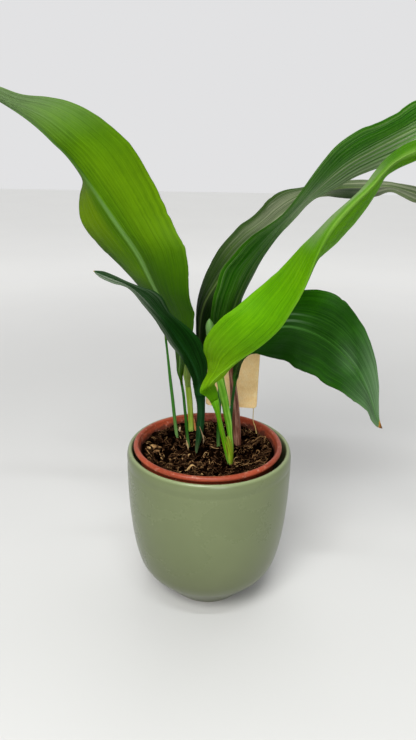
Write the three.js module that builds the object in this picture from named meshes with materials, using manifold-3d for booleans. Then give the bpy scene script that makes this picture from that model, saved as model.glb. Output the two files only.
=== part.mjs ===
// Potted cast iron plant: glazed cover pot, plastic nursery pot, soil, eight leaves with their stalks,
// a young shoot, a dry sheath, a card label on a thin stalk and a few dry scales.
// Millimetres, +Z up. The origin is the centre of the cover pot's flat foot, which stands on Z = 0.
// The plant's front faces -Y; +X is to its right.
import * as THREE from "three";
import { ParametricGeometry } from "three/addons/geometries/ParametricGeometry.js";
import { mergeVertices } from "three/addons/utils/BufferGeometryUtils.js";
import Module from "manifold-3d";

// ---------- driving dimensions ----------
const COVER_HEIGHT = 133.2; // cover pot, foot to lip
const COVER_FOOT_RADIUS = 30; // flat foot
const COVER_WALL = 4.2;
const COVER_FLOOR = 6;
const NURSERY_RIM_RADIUS = 60; // outside of the rolled rim: a 12 cm pot
const NURSERY_RIM_MIDDLE_Z = 134.7;
const NURSERY_RIM_HALF_HEIGHT = 2.6;
const NURSERY_RIM_WIDTH = 4.8;
const NURSERY_WALL = 1.4;
const NURSERY_BASE_RADIUS = 37.5;
const NURSERY_BASE_Z = 16.5;
const NURSERY_SHIFT = [-1.2, -2.0]; // the nursery pot leans to the front left inside the cover pot
const DRAIN_HOLES = 5;
const DRAIN_HOLE_RADIUS = 4;
const SOIL_TOP_Z = 124;
const SOIL_HEAP = 6.3; // how much higher the soil lies against the pot's wall
const GAP = 0.3; // clearance between pieces that touch
const SOCKET_GAP = 0.5; // clearance of a stalk in the soil
const ROUND = 44; // sides of the pots
const BLADE_MIDDLE = 1.3; // leaf blade thickness at the midrib
const BLADE_THICKNESS = 0.7; // and between midrib and margin
const TAG_WIDTH = 44;
const TAG_HEIGHT = 53;
const TAG_THICKNESS = 0.6;
const TAG_CORNER = 3;
const TAG_STALK_RADIUS = 0.5;

// Outer radius of the cover pot by height, from the foot to just under the lip.
const COVER_PROFILE = [
  [30, 0], [31.2, 0.5], [32.6, 2], [35.6, 5.2], [40, 10.4], [44.6, 15.2], [49.6, 20.4], [54.4, 26], [58.2, 33],
  [60.8, 42], [63.1, 54], [65, 70], [66.4, 88], [67.1, 112], [67.1, 129],
];

// Leaves. Every row is a cross-section from the stalk's foot to the leaf's tip: left edge, middle, right edge (x, y, z each).
const LEAVES = {
  left_leaf: {
  blade: '#5b8410', stem: '#3f7413', camber: 0.045,
  petiole: [
    [-17.14, 10.91, 110.17, -15.8, 11.03, 110.3, -14.45, 11.14, 110.42],
    [-18.79, 12.38, 124, -17.45, 12.5, 124.12, -16.1, 12.62, 124.25],
    [-19.76, 12.59, 135.13, -18.51, 12.7, 135.24, -17.26, 12.81, 135.36],
    [-20.89, 12.79, 147.01, -19.65, 12.9, 147.12, -18.4, 13.01, 147.24],
    [-21.95, 12.9, 159.66, -20.76, 13, 159.77, -19.57, 13.1, 159.88],
    [-23.11, 12.88, 172.09, -21.93, 13, 172.24, -20.76, 13.12, 172.39],
    [-24.8, 12.87, 182.8, -23.64, 13, 182.98, -22.48, 13.13, 183.17],
  ],
  lamina: [
    [-24.89, 13.1, 183.57, -23.75, 13.16, 183.56, -22.53, 13.22, 183.56],
    [-26.84, 16.37, 189.88, -24.44, 13.34, 190.33, -22.09, 10.44, 192.17],
    [-28.52, 25.04, 196.58, -24.47, 13.47, 199.31, -20.17, 1.03, 203.16],
    [-30.34, 30.45, 206.68, -24.51, 13.3, 210.44, -17.09, -5.19, 213.95],
    [-35.74, 34.21, 219.36, -27.52, 12.35, 223.5, -14.22, -9.69, 227.77],
    [-42.54, 36.38, 232.72, -32.08, 10.95, 236.06, -12.48, -12.68, 239.99],
    [-52.24, 36.53, 247.7, -38.33, 8.66, 250.27, -13.63, -15.9, 252.97],
    [-62.29, 34.11, 260.87, -44.66, 5.72, 264.3, -16.21, -17.89, 266.91],
    [-72.47, 29.17, 273.58, -50.74, 2.16, 278.3, -17, -17.29, 281.86],
    [-83.79, 22.31, 287.22, -57.44, -1.77, 291.85, -20.21, -14.85, 295.9],
    [-94.53, 16.39, 301.19, -65.65, -5.55, 304.66, -26.27, -9.89, 307],
    [-99.26, 14.24, 315.35, -73.81, -9.47, 317.46, -32.5, -7.18, 321.23],
    [-97.31, 14.23, 329.98, -82.09, -13.58, 330.12, -40.52, -9.44, 336.38],
    [-93.3, 10.97, 346.07, -90.38, -18.06, 342.64, -48.38, -13.23, 351.86],
    [-98.22, 2.21, 363.9, -99.26, -23.11, 354.52, -58.88, -17.79, 366.42],
    [-108.08, -8.26, 376.83, -109.32, -28.44, 365.24, -75.14, -23.15, 379.75],
    [-118.35, -17.18, 385.59, -120.03, -32.91, 375.75, -95.95, -29.04, 388.94],
    [-131.09, -26.32, 391.64, -132.17, -37.38, 384.56, -119.66, -37.21, 390.91],
    [-142.42, -34.77, 395.15, -143.11, -41.4, 391.22, -136.21, -42.37, 396.24],
    [-150.1, -42.27, 396.51, -150.83, -43.66, 395.12, -147.95, -43.34, 397.83],
    [-154.8, -44.38, 397.25, -154.8, -44.38, 397.25, -154.8, -44.38, 397.25],
  ],
  },
  front_left_leaf: {
  blade: '#12381a', stem: '#16401f', camber: 0.04,
  petiole: [
    [-10.58, 1.57, 110.19, -9.5, 1.55, 110.1, -8.42, 1.53, 110.02],
    [-11.62, 2.02, 124.14, -10.54, 2, 124.06, -9.47, 1.98, 123.97],
    [-11.54, 1.07, 130.33, -10.07, 1, 130.13, -8.6, 0.93, 129.93],
    [-11.13, -0.88, 139.7, -8.62, -1, 139.37, -6.11, -1.12, 139.03],
    [-10.85, -2.95, 149.55, -7.7, -3, 149.32, -4.55, -3.05, 149.1],
    [-10.24, -6.02, 162.22, -7.05, -6, 162.15, -3.86, -5.98, 162.08],
    [-10.46, -10.15, 173.97, -7.1, -10, 174.2, -3.74, -9.85, 174.42],
    [-12.32, -13.97, 183.63, -8.12, -13.67, 184.17, -3.92, -13.38, 184.71],
  ],
  lamina: [
    [-12.29, -14.42, 185.15, -8.21, -14.29, 185.17, -3.73, -14.23, 185.23],
    [-12.73, -18.71, 191.38, -8.86, -15.26, 190.76, -3.73, -12.48, 190.99],
    [-14.02, -25.78, 200.06, -10.19, -16.83, 197.43, -3.25, -9.71, 196.74],
    [-16.95, -31.31, 209.35, -12.62, -18.86, 205.01, -2.03, -9.64, 203.58],
    [-20.06, -37.22, 217.98, -15.88, -21.6, 213.33, -3.02, -11.05, 210.45],
    [-24.13, -43.33, 226.46, -20.09, -25.1, 222.31, -5.15, -13.48, 218.97],
    [-29.26, -49.06, 235.99, -25.13, -29.33, 231.99, -8.93, -16.72, 228.62],
    [-34.84, -54.24, 247.72, -30.8, -34.51, 242.31, -16.39, -20.02, 237.66],
    [-40, -59.59, 257.26, -36.6, -40.64, 251.99, -26.1, -24.79, 246.68],
    [-45.52, -64.01, 266.16, -42.71, -46.8, 261.49, -32.61, -32.11, 259.33],
    [-50.91, -67.57, 274.06, -49.58, -53, 270.44, -39.04, -42, 269.57],
    [-56.52, -70.54, 278.61, -56.79, -59.17, 277.23, -48.09, -51.69, 274.83],
    [-63.65, -72.35, 281.05, -64.15, -64.82, 282.17, -58.67, -59.54, 281.47],
    [-69.55, -72.17, 283.87, -70.18, -68.98, 285.81, -67.62, -66.28, 286.9],
    [-74.62, -71.29, 288.27, -74.62, -71.29, 288.27, -74.62, -71.29, 288.27],
  ],
  },
  rear_right_leaf: {
  blade: '#35521c', stem: '#2c4a1c', camber: 0.05,
  petiole: [
    [-9.04, 35.8, 109.37, -7.54, 35.82, 109.36, -6.03, 35.84, 109.35],
    [-9.41, 37.98, 123.19, -7.9, 38, 123.19, -6.39, 38.02, 123.18],
    [-9.32, 38.48, 139.49, -7.82, 38.5, 139.47, -6.33, 38.52, 139.45],
    [-8.97, 38.99, 156.43, -7.49, 39, 156.39, -6.01, 39.01, 156.36],
    [-8.48, 38.99, 175.04, -7.01, 39, 175.02, -5.55, 39.01, 174.99],
    [-8.4, 38.98, 190.85, -6.95, 39, 190.84, -5.5, 39.02, 190.83],
  ],
  lamina: [
    [-8.4, 39.25, 191.28, -6.95, 39.28, 191.3, -5.5, 39.3, 191.31],
    [-11.21, 44.07, 199.64, -8.27, 39.93, 201.02, -4.92, 36.15, 202.3],
    [-13.16, 54.27, 209.93, -9.68, 41.12, 213.05, -1.94, 29.8, 215.72],
    [-13.69, 62.21, 224.39, -9.27, 43.58, 227.46, 3.04, 28.14, 229.06],
    [-12.2, 70.52, 240.78, -4.72, 47.67, 243.29, 11, 28.74, 245.33],
    [-7.09, 77.56, 256.31, 4.11, 51.98, 257.28, 20.67, 29.38, 260.13],
    [0.71, 83.05, 272.22, 13.81, 55.64, 270.82, 28.82, 29.28, 274.04],
    [12.54, 86.69, 289.86, 25.04, 57.72, 283.53, 36.69, 28.2, 287.08],
    [28.77, 88.48, 304.34, 37.94, 58.84, 294.61, 45.39, 27.3, 298],
    [41.37, 87.35, 316.94, 51.51, 58.44, 304.94, 55.14, 26.15, 307.78],
    [53.19, 85.04, 327.21, 64.72, 56.89, 315.67, 64.52, 25.22, 318.63],
    [69.89, 82.46, 332.04, 78.63, 54.21, 325.15, 76.35, 24.04, 327.7],
    [89.93, 77.87, 336.16, 93.75, 50.35, 332.03, 87.76, 22.94, 329.51],
    [111.21, 70.76, 338.69, 109.97, 45.78, 334.48, 103.5, 21.57, 328.54],
    [129.78, 62.19, 339.32, 126.26, 40.73, 335.35, 121.41, 19.61, 330.35],
    [147.58, 53.24, 338.07, 142.58, 36.36, 334.69, 137.42, 19.48, 331.7],
    [163.43, 44.7, 335.48, 158.74, 32.99, 330.27, 153.67, 21.28, 325.49],
    [176.15, 37.09, 328.93, 172, 30.26, 324.74, 167.87, 23.33, 320.65],
    [184.1, 29.79, 320.71, 182.36, 28.22, 318.6, 180.62, 26.64, 316.49],
    [188.27, 27.42, 314.23, 188.27, 27.42, 314.23, 188.27, 27.42, 314.23],
  ],
  },
  tall_right_leaf: {
  blade: '#2c6416', stem: '#25561a', camber: 0.05,
  petiole: [
    [5.26, 6.01, 110.2, 6.77, 6, 110.23, 8.28, 5.99, 110.26],
    [6.26, 7.01, 124.13, 7.77, 7, 124.16, 9.28, 6.99, 124.19],
    [5.95, 7.02, 135.75, 7.53, 7, 135.76, 9.11, 6.98, 135.77],
    [6.02, 6.53, 148.79, 7.59, 6.5, 148.78, 9.15, 6.47, 148.77],
    [6.22, 6.02, 163.32, 7.69, 6, 163.33, 9.16, 5.98, 163.34],
    [5.97, 5.53, 177.58, 7.38, 5.5, 177.56, 8.79, 5.47, 177.53],
    [6.92, 5.06, 197.79, 8.26, 5.01, 197.73, 9.61, 4.97, 197.67],
  ],
  lamina: [
    [6.94, 4.81, 198.33, 8.28, 4.79, 198.36, 9.63, 4.78, 198.39],
    [5.59, 0.98, 208.71, 9.38, 4.29, 207.74, 12.42, 8.11, 206.52],
    [2.25, -5.67, 222.57, 11.12, 3.47, 219.49, 15.75, 15.35, 215.9],
    [-0.51, -9.07, 237.41, 13.73, 2.5, 233.52, 19.4, 19.47, 229.08],
    [-0.05, -12.86, 252.29, 17.81, 1.37, 249.65, 22.77, 23.21, 245.4],
    [2.67, -15.72, 267.76, 23.43, 0.16, 265.31, 28.22, 25.55, 261.32],
    [7.08, -18.97, 281.73, 30.54, -1.16, 280.34, 35.51, 26.75, 277.31],
    [18.11, -24.05, 296.04, 39.25, -2.59, 294.47, 44.22, 27.03, 293.19],
    [31.87, -29.89, 309.32, 48.06, -4.09, 308.56, 53.53, 25.84, 304.72],
    [47.78, -34.33, 322.27, 57.46, -5.84, 322.19, 64.25, 23.69, 317.18],
    [59.49, -35.3, 338.63, 69.02, -7.66, 334.07, 75.9, 20.82, 328.96],
    [69.13, -33.72, 353.38, 81.28, -9.29, 345.27, 88.16, 16.73, 335.5],
    [80.55, -31.09, 365.55, 94.55, -10.77, 355.22, 101.05, 12.24, 344.02],
    [95.32, -28.85, 374.99, 108.92, -12.17, 363.58, 115.83, 6.16, 350.57],
    [111.67, -26.26, 382.16, 123.39, -13.49, 371.76, 129.93, -2.41, 355.91],
    [128.76, -22.11, 391.97, 138.23, -14.84, 379.27, 143.42, -11.84, 362.47],
    [148.29, -18.55, 396.45, 153.84, -16.19, 384.95, 157.65, -16.65, 370.92],
    [164.74, -17.63, 396.68, 167.83, -17.33, 387.57, 170.32, -17.83, 377.79],
    [178.5, -18.23, 392.78, 179.69, -18.29, 388.06, 180.84, -18.49, 383.47],
    [186.9, -18.73, 387.64, 186.9, -18.73, 387.64, 186.9, -18.73, 387.64],
  ],
  },
  front_leaf: {
  blade: '#63a00c', stem: '#4c8a0c', camber: 0.05,
  petiole: [
    [13.49, -18.58, 109.85, 15.27, -18.44, 110.25, 17.05, -18.29, 110.64],
    [15.05, -20.15, 123.68, 16.84, -20, 124.07, 18.62, -19.85, 124.47],
    [12.63, -21.16, 134.36, 14.55, -21, 134.8, 16.46, -20.84, 135.24],
    [9.54, -23.17, 148.4, 11.42, -23, 148.84, 13.31, -22.83, 149.28],
    [7.11, -25.16, 159.57, 8.97, -25, 160, 10.84, -24.84, 160.43],
    [4.67, -28.2, 171.67, 6.47, -28, 172.19, 8.28, -27.8, 172.71],
    [1.7, -31.4, 180.64, 3.42, -31, 181.62, 5.14, -30.6, 182.6],
    [-2.58, -33.41, 186.05, -0.95, -32.83, 187.45, 0.67, -32.25, 188.85],
  ],
  lamina: [
    [-2.83, -34.17, 188.05, -1.36, -34.01, 188.41, 0.99, -33.72, 189.13],
    [-5.82, -33.92, 190.62, -3.5, -35.21, 191.59, 1.79, -33.53, 193.94],
    [-7.65, -33.29, 192, -5.01, -36.92, 194.53, 1.81, -33.45, 197.11],
    [-7.72, -31.79, 192.94, -4.73, -38.91, 197.51, 1.83, -33.04, 198.47],
    [-5.84, -30.42, 196.01, -1.74, -41.94, 202.09, 3.05, -32.64, 199.75],
    [-3.15, -30.87, 203.09, 3.18, -45.68, 207.95, 7.09, -33.04, 202.88],
    [-1.9, -34.45, 213.71, 9.45, -50.22, 215.05, 11.45, -34.01, 208.72],
    [-4.74, -44.78, 228.18, 17.32, -55.67, 223.27, 15.46, -35.63, 218.88],
    [-3.89, -55.99, 241.34, 25.64, -61.26, 230.92, 21.55, -38.54, 229.17],
    [2.81, -63.59, 253.41, 35.04, -67.87, 239.99, 29.57, -43.29, 240.38],
    [12.59, -66.43, 262.9, 43.14, -74.14, 250.51, 38.23, -48.29, 253.14],
    [22.53, -63.58, 270.78, 49.12, -80, 262.61, 45.32, -53.57, 266.13],
    [33.08, -61.73, 279.75, 53.86, -85.9, 275.22, 51.65, -59.43, 278.52],
    [42.98, -64.22, 289.83, 57.19, -92.08, 288.12, 57.67, -66.21, 290.41],
    [50.02, -68.82, 299.43, 59.16, -97.51, 299.34, 61.78, -73.02, 298.79],
    [56.37, -75.19, 308.6, 61.59, -103.06, 310.38, 67.97, -81.57, 304.44],
    [63.12, -82.78, 317.84, 65.24, -108.72, 321.02, 75.06, -90.35, 314.61],
    [70.56, -91.19, 328.26, 70.89, -114.66, 330.59, 80.97, -98.67, 325.35],
    [77.55, -100.67, 337.37, 77.39, -121.04, 339.3, 85.43, -106.73, 335.86],
    [82.69, -111.15, 347.5, 83.19, -127.97, 348.07, 88.09, -115.51, 346.48],
    [88.13, -123.04, 358.53, 89.07, -135.43, 356.19, 93.16, -126.63, 352.84],
    [95.22, -133.91, 365.11, 95.95, -141.83, 360.86, 99.06, -136.66, 356.73],
    [101.22, -143.69, 367.19, 102.06, -146.82, 363.5, 103.74, -145.2, 359.78],
    [109.07, -150.55, 365.12, 109.07, -150.55, 365.12, 109.07, -150.55, 365.12],
  ],
  },
  drooping_leaf: {
  blade: '#22501a', stem: '#1d4a1e', camber: 0.05,
  petiole: [
    [14.85, 14.52, 110.16, 16.13, 14.48, 110.16, 17.4, 14.43, 110.17],
    [16.45, 16.05, 123.98, 17.73, 16, 123.99, 19.01, 15.95, 123.99],
    [16.37, 15.05, 135.77, 17.64, 15, 135.77, 18.9, 14.95, 135.77],
    [16.41, 14.06, 149.2, 17.66, 14, 149.17, 18.91, 13.94, 149.15],
    [16.75, 13.08, 160.58, 17.98, 13, 160.51, 19.22, 12.92, 160.44],
    [17.55, 11.59, 171.96, 18.77, 11.5, 171.85, 19.99, 11.41, 171.74],
    [18.54, 10.17, 183.42, 19.79, 10.07, 183.29, 21.03, 9.97, 183.17],
  ],
  lamina: [
    [18.7, 9.94, 183.84, 19.83, 9.91, 183.87, 21.21, 9.86, 183.92],
    [18.41, 14, 188.05, 20.4, 9.68, 189.87, 22.17, 5.68, 191.49],
    [18.7, 22.82, 193.22, 21.65, 9.35, 197.33, 23.36, -2.98, 201.54],
    [19.94, 28.09, 202.37, 24.18, 8.75, 206.04, 25.71, -8.81, 210.37],
    [23.54, 31.39, 212.74, 28.68, 7.13, 215.51, 31.12, -14.91, 217.12],
    [29.81, 32.66, 225.14, 35.97, 4.32, 224.72, 38.7, -20.69, 217.29],
    [39.98, 31.18, 238.05, 46.88, 0.84, 232.01, 47.99, -23.4, 215.13],
    [53.61, 25.36, 251.53, 59.52, -2.72, 235.26, 57.85, -22.61, 212.59],
    [69.21, 12.12, 260.81, 72.4, -6.84, 233.71, 67.51, -22, 206.87],
    [83.85, -2.49, 263.69, 84.27, -11.72, 229.15, 75.76, -24.91, 204.1],
    [97.33, -8.94, 258.45, 94.81, -16.65, 222.1, 85.55, -27.47, 197.82],
    [108.83, -14.78, 244.82, 103.97, -21.75, 213.42, 95.52, -34.94, 195.11],
    [115.92, -19.16, 232.62, 110.77, -26.03, 204.39, 103.64, -40.41, 190.9],
    [121.4, -23.49, 217.78, 116.16, -29.78, 194.22, 111.08, -43.28, 186.76],
    [124.92, -28.04, 200.79, 120.04, -32.77, 184.85, 115.52, -42.93, 181.8],
    [125.25, -31.86, 184.65, 123.01, -35.43, 176.71, 119.25, -41.66, 174.95],
    [126.42, -36.46, 172.3, 126.64, -37.75, 170.47, 125.64, -39.14, 169.06],
    [128.49, -38.39, 167.98, 128.49, -38.39, 167.98, 128.49, -38.39, 167.98],
  ],
  },
  rear_left_leaf: {
  blade: '#3c6e1a', stem: '#3a6e22', camber: 0.06,
  petiole: [
    [-28.13, 25.79, 111.91, -26.67, 25.96, 112.08, -25.21, 26.14, 112.26],
    [-29.62, 27.43, 125.73, -28.16, 27.6, 125.91, -26.7, 27.77, 126.08],
    [-31.45, 29.64, 139.02, -29.99, 29.8, 139.17, -28.53, 29.96, 139.32],
    [-33.54, 32.84, 158.27, -32.1, 33, 158.42, -30.65, 33.16, 158.56],
    [-35.54, 35.36, 175.7, -34.23, 35.5, 175.83, -32.92, 35.64, 175.96],
    [-37.28, 37.89, 194.68, -36.23, 38, 194.78, -35.18, 38.11, 194.89],
    [-39.51, 39.84, 214.68, -38.51, 39.95, 214.78, -37.51, 40.06, 214.88],
  ],
  lamina: [
    [-39.44, 40.37, 215.2, -38.61, 40.44, 215.2, -37.6, 40.51, 215.19],
    [-41.42, 46.61, 220.23, -39.14, 41.91, 221.42, -36.4, 37.38, 222.59],
    [-44.86, 56.7, 225.91, -40.37, 44.77, 229.81, -34.34, 33.5, 233.52],
    [-50.68, 65.45, 235.42, -42.94, 49.08, 241.6, -32.63, 33.98, 247.37],
    [-58.12, 72.03, 247.62, -46.55, 53.18, 254.57, -32.53, 35.82, 261.02],
    [-66.18, 75.9, 261.54, -51.32, 56.64, 268.77, -34.51, 38.78, 275.61],
    [-74.73, 77.04, 275.71, -56.74, 59.99, 282.76, -38.31, 43.52, 290.22],
    [-83.01, 76.39, 289.38, -63.43, 63.38, 296.18, -44.61, 49.65, 303.52],
    [-89.91, 75.35, 303, -71.1, 66.85, 309.04, -53.46, 56.98, 316.35],
    [-95.55, 73.47, 315.97, -79.79, 69.8, 321.36, -65.01, 64.92, 328.3],
    [-100.09, 71.13, 327.38, -88.5, 72.37, 332.14, -77.93, 72.86, 338.8],
    [-102.1, 73.77, 337.26, -96.06, 74.77, 340.49, -90.28, 75.77, 344.81],
    [-102.19, 75.95, 343.78, -100.41, 76.2, 344.86, -98.59, 76.53, 346.32],
    [-102.17, 76.61, 346.59, -102.17, 76.61, 346.59, -102.17, 76.61, 346.59],
  ],
  },
  back_leaf: {
  blade: '#4d7f1c', stem: '#86a64a', camber: 0.06,
  petiole: [
    [-17.98, 36.12, 113.39, -15.59, 36.23, 113.46, -13.2, 36.34, 113.52],
    [-18.76, 38.19, 127.22, -16.37, 38.3, 127.28, -13.98, 38.41, 127.35],
    [-19.16, 40.37, 138.3, -16.78, 40.5, 138.4, -14.4, 40.63, 138.49],
    [-20.06, 42.23, 149.86, -17.52, 42.4, 150.03, -14.98, 42.57, 150.21],
    [-21.1, 43.39, 159.69, -18.49, 43.6, 159.96, -15.89, 43.81, 160.24],
    [-22.1, 43.72, 167.56, -19.52, 43.94, 167.88, -16.93, 44.17, 168.21],
  ],
  lamina: [
    [-22.14, 44.28, 169.02, -19.7, 44.4, 169.02, -17.08, 44.49, 169.03],
    [-23.35, 49.51, 176.42, -20.71, 45.48, 176.49, -17.25, 41.55, 176.57],
    [-26.77, 60.66, 185, -22.03, 48.16, 187.41, -17.64, 35.49, 189.91],
    [-32.53, 69.89, 198.56, -23.9, 52.4, 201.79, -17.89, 34.02, 205.8],
    [-40.1, 79.09, 216.07, -27.09, 58.06, 219.5, -18.46, 35.31, 225.03],
    [-47.7, 86.82, 233.71, -31.08, 64.4, 238.87, -20.99, 38.63, 244.95],
    [-54.27, 93.38, 253.39, -35.73, 70.97, 260.04, -24.42, 44.25, 266.88],
    [-60.01, 98.31, 273.82, -41.08, 77.25, 281.15, -29.65, 51.32, 288.19],
    [-65.35, 102.29, 294.54, -48.13, 83.33, 301.79, -38, 59.38, 307.59],
    [-71.81, 104.53, 314.78, -56.8, 89.48, 321.79, -49.03, 69.17, 327.08],
    [-79.29, 103.57, 333.02, -66.55, 94.58, 339.4, -60.5, 79.15, 343.37],
    [-86.49, 100.44, 347.34, -75.71, 98.79, 353.1, -71.04, 88.63, 356.39],
    [-90.07, 101.88, 359.08, -83.66, 102.45, 362.94, -80.82, 96.98, 365.03],
    [-90.95, 104.22, 366.6, -88.59, 104.53, 368.08, -87.68, 103.59, 368.9],
    [-91.12, 105.28, 370.58, -91.12, 105.28, 370.58, -91.12, 105.28, 370.58],
  ],
  },
};
const SHOOT = [
    [14.91, -15.33, 114.53, 17.71, -15.38, 114.62, 19.79, -15.44, 114.69],
    [14.91, -15.33, 125.53, 17.71, -15.38, 125.62, 19.79, -15.44, 125.69],
    [14.47, -15.68, 140.58, 17.44, -14.14, 139.86, 19.67, -16.44, 141.06],
    [13.01, -14.81, 156.86, 15.36, -12.66, 155.9, 17.41, -15.04, 157.05],
    [9.72, -13.61, 172.67, 12.36, -11.6, 171.86, 15.42, -12.84, 172.45],
    [6.54, -13.08, 188.55, 9.1, -11.04, 187.8, 12.47, -11.37, 187.99],
    [2.36, -12.68, 204.02, 5.55, -11.49, 203.66, 9.21, -11.56, 203.75],
    [-0.71, -12.78, 217.58, 2.7, -12.54, 217.57, 6.47, -12.57, 217.64],
    [-3.08, -13.7, 229.54, 0.51, -13.55, 229.52, 4.08, -13.71, 229.63],
    [-3.92, -15.43, 239.29, -0.9, -14.05, 238.55, 2.09, -15.55, 239.02],
    [-2.64, -15.06, 244.01, -1.44, -14.27, 243.58, -0.19, -15.11, 243.83],
  ];
const DRY_SHEATH = [
    [21.89, 18.14, 112.94, 24.2, 18.07, 113.02, 26.33, 17.99, 113.1],
    [21.89, 18.14, 123.94, 24.2, 18.07, 124.02, 26.33, 17.99, 124.1],
    [19.78, 21.13, 137.88, 22.72, 19.26, 138.82, 25.81, 21.02, 138.05],
    [18.47, 22.44, 152.71, 21.39, 20.53, 153.6, 24.37, 22.41, 152.83],
    [17.43, 24.03, 167.45, 20.14, 21.85, 168.38, 22.81, 24.11, 167.52],
    [16.09, 25.23, 182.12, 18.33, 22.6, 183.14, 20.59, 25.26, 182.19],
    [14.21, 26.27, 196.76, 15.9, 23.25, 197.82, 17.53, 26.31, 196.81],
    [13.15, 25.04, 210.6, 13.38, 23.9, 210.96, 13.69, 25.02, 210.61],
  ];
const SCALES = {
  dry_scale_left: { depth: 0.35, color: '#a98a5e', rooted: true, rows: [
    [-18.37, 8.86, 118.83, -17.39, 9, 119.03, -16.41, 9.14, 119.23],
    [-18.37, 8.86, 123.83, -17.39, 9, 124.03, -16.41, 9.14, 124.23],
    [-19.47, 9.01, 127.85, -18.26, 9.2, 128.13, -17.04, 9.39, 128.4],
    [-19.65, 9.54, 132.01, -19.29, 9.6, 132.1, -18.93, 9.66, 132.19],
  ] },
  dry_scale_front: { depth: 0.35, color: '#8d7a5c', rooted: false, rows: [
    [-5.47, -3.49, 135.73, -4.85, -3.5, 135.7, -4.24, -3.51, 135.67],
    [-5.69, -5.27, 140.48, -4.64, -5.2, 140.61, -3.6, -5.13, 140.74],
    [-6.82, -7.03, 146.52, -5.98, -6.9, 146.77, -5.14, -6.77, 147.02],
    [-8.07, -8.35, 152.59, -7.78, -8.3, 152.7, -7.48, -8.25, 152.8],
  ] },
  dry_scale_back: { depth: 0.4, color: '#b5713c', rooted: true, rows: [
    [-13.52, 38.3, 121.68, -12.29, 38.4, 121.83, -11.06, 38.5, 121.97],
    [-13.52, 38.3, 126.68, -12.29, 38.4, 126.83, -11.06, 38.5, 126.97],
    [-14.01, 38.7, 131.35, -12.87, 38.8, 131.5, -11.74, 38.9, 131.65],
    [-14.26, 39.46, 137.88, -13.83, 39.5, 137.94, -13.39, 39.54, 138],
  ] },
  cut_stub: { depth: 0.7, color: '#b39a7c', rooted: true, rows: [
    [-28.03, 31.52, 120.16, -26.99, 31.5, 119.99, -25.95, 31.48, 119.83],
    [-28.03, 31.52, 125.16, -26.99, 31.5, 124.99, -25.95, 31.48, 124.83],
    [-27.46, 31.71, 128.93, -26.38, 31.7, 128.78, -25.3, 31.69, 128.63],
    [-26.65, 32, 133.07, -25.87, 32, 132.98, -25.09, 32, 132.88],
  ] },
};
const TAG_STALK = [
  [41.29, 24.40, 122.54],
  [40.99, 25.00, 128.54],
  [39.58, 29.30, 136.00],
  [37.95, 32.40, 140.25],
  [37.66, 34.60, 150.64],
  [37.35, 35.10, 163.52],
  [36.58, 36.10, 185.99],
  [35.83, 36.90, 201.79],
];

// ---------- helpers ----------
const wasm = await Module();
wasm.setup();

function toSolid(geometry) {
  const g = geometry.clone();
  for (const name of Object.keys(g.attributes)) if (name !== "position") g.deleteAttribute(name);
  const merged = mergeVertices(g, 1e-4);
  return new wasm.Manifold(
    new wasm.Mesh({
      numProp: 3,
      vertProperties: new Float32Array(merged.attributes.position.array),
      triVerts: new Uint32Array(merged.index.array),
    }),
  );
}

function toGeometry(solid) {
  const m = solid.getMesh();
  const v = new Float32Array(m.numVert * 3);
  for (let i = 0; i < m.numVert; i++) v.set(m.vertProperties.subarray(i * m.numProp, i * m.numProp + 3), i * 3);
  const g = new THREE.BufferGeometry();
  g.setAttribute("position", new THREE.BufferAttribute(v, 3));
  g.setIndex(new THREE.BufferAttribute(new Uint32Array(m.triVerts), 1));
  g.computeVertexNormals();
  return g;
}

const group = new THREE.Group();
function add(name, geometry, color, roughness, metalness = 0) {
  const mesh = new THREE.Mesh(geometry, new THREE.MeshStandardMaterial({ color, roughness, metalness }));
  mesh.name = name;
  group.add(mesh);
  return mesh;
}

function curveOf(rows, k) {
  return new THREE.CatmullRomCurve3(
    rows.map((r) => new THREE.Vector3(r[k], r[k + 1], r[k + 2])),
    false,
    "centripetal",
  );
}

// A section frame at t along the rows: left, middle, right, direction and the facing normal.
function sectionAt(curves, t) {
  const [l, m, r] = curves.map((c) => c.getPoint(t));
  const e = 1e-3;
  const a = curves[1].getPoint(Math.max(0, t - e));
  const b = curves[1].getPoint(Math.min(1, t + e));
  const along = b.sub(a).normalize();
  return { l, m, r, along };
}

// A stalk: an oval section that follows the rows, closed to a point at both ends. grow widens it, for its socket.
function stalk(rows, { grow = 0, depth = 0.86, sides = 8, steps = 0, endTrim = 0 } = {}) {
  const curves = [0, 3, 6].map((k) => curveOf(rows, k));
  const n = steps || rows.length * 2;
  const f = (u, v, target) => {
    const ring = Math.round(v * (n + 2));
    const t = Math.min(1, Math.max(0, (ring - 1) / n));
    const s = sectionAt(curves, t);
    const across = s.r.clone().sub(s.l);
    const half = across.length() / 2 + grow;
    across.addScaledVector(s.along, -across.dot(s.along)).normalize();
    const normal = across.clone().cross(s.along).normalize();
    const middle = s.m.clone();
    if (ring <= 1) middle.addScaledVector(s.along, -grow);
    if (ring >= n + 1) middle.addScaledVector(s.along, grow - endTrim);
    if (ring === 0 || ring === n + 2) return target.copy(middle);
    const a = -u * 2 * Math.PI;
    target
      .copy(middle)
      .addScaledVector(across, half * Math.cos(a))
      .addScaledVector(normal, (half - grow) * depth * Math.sin(a) + grow * Math.sin(a));
  };
  return new ParametricGeometry(f, sides, n + 2);
}

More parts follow.
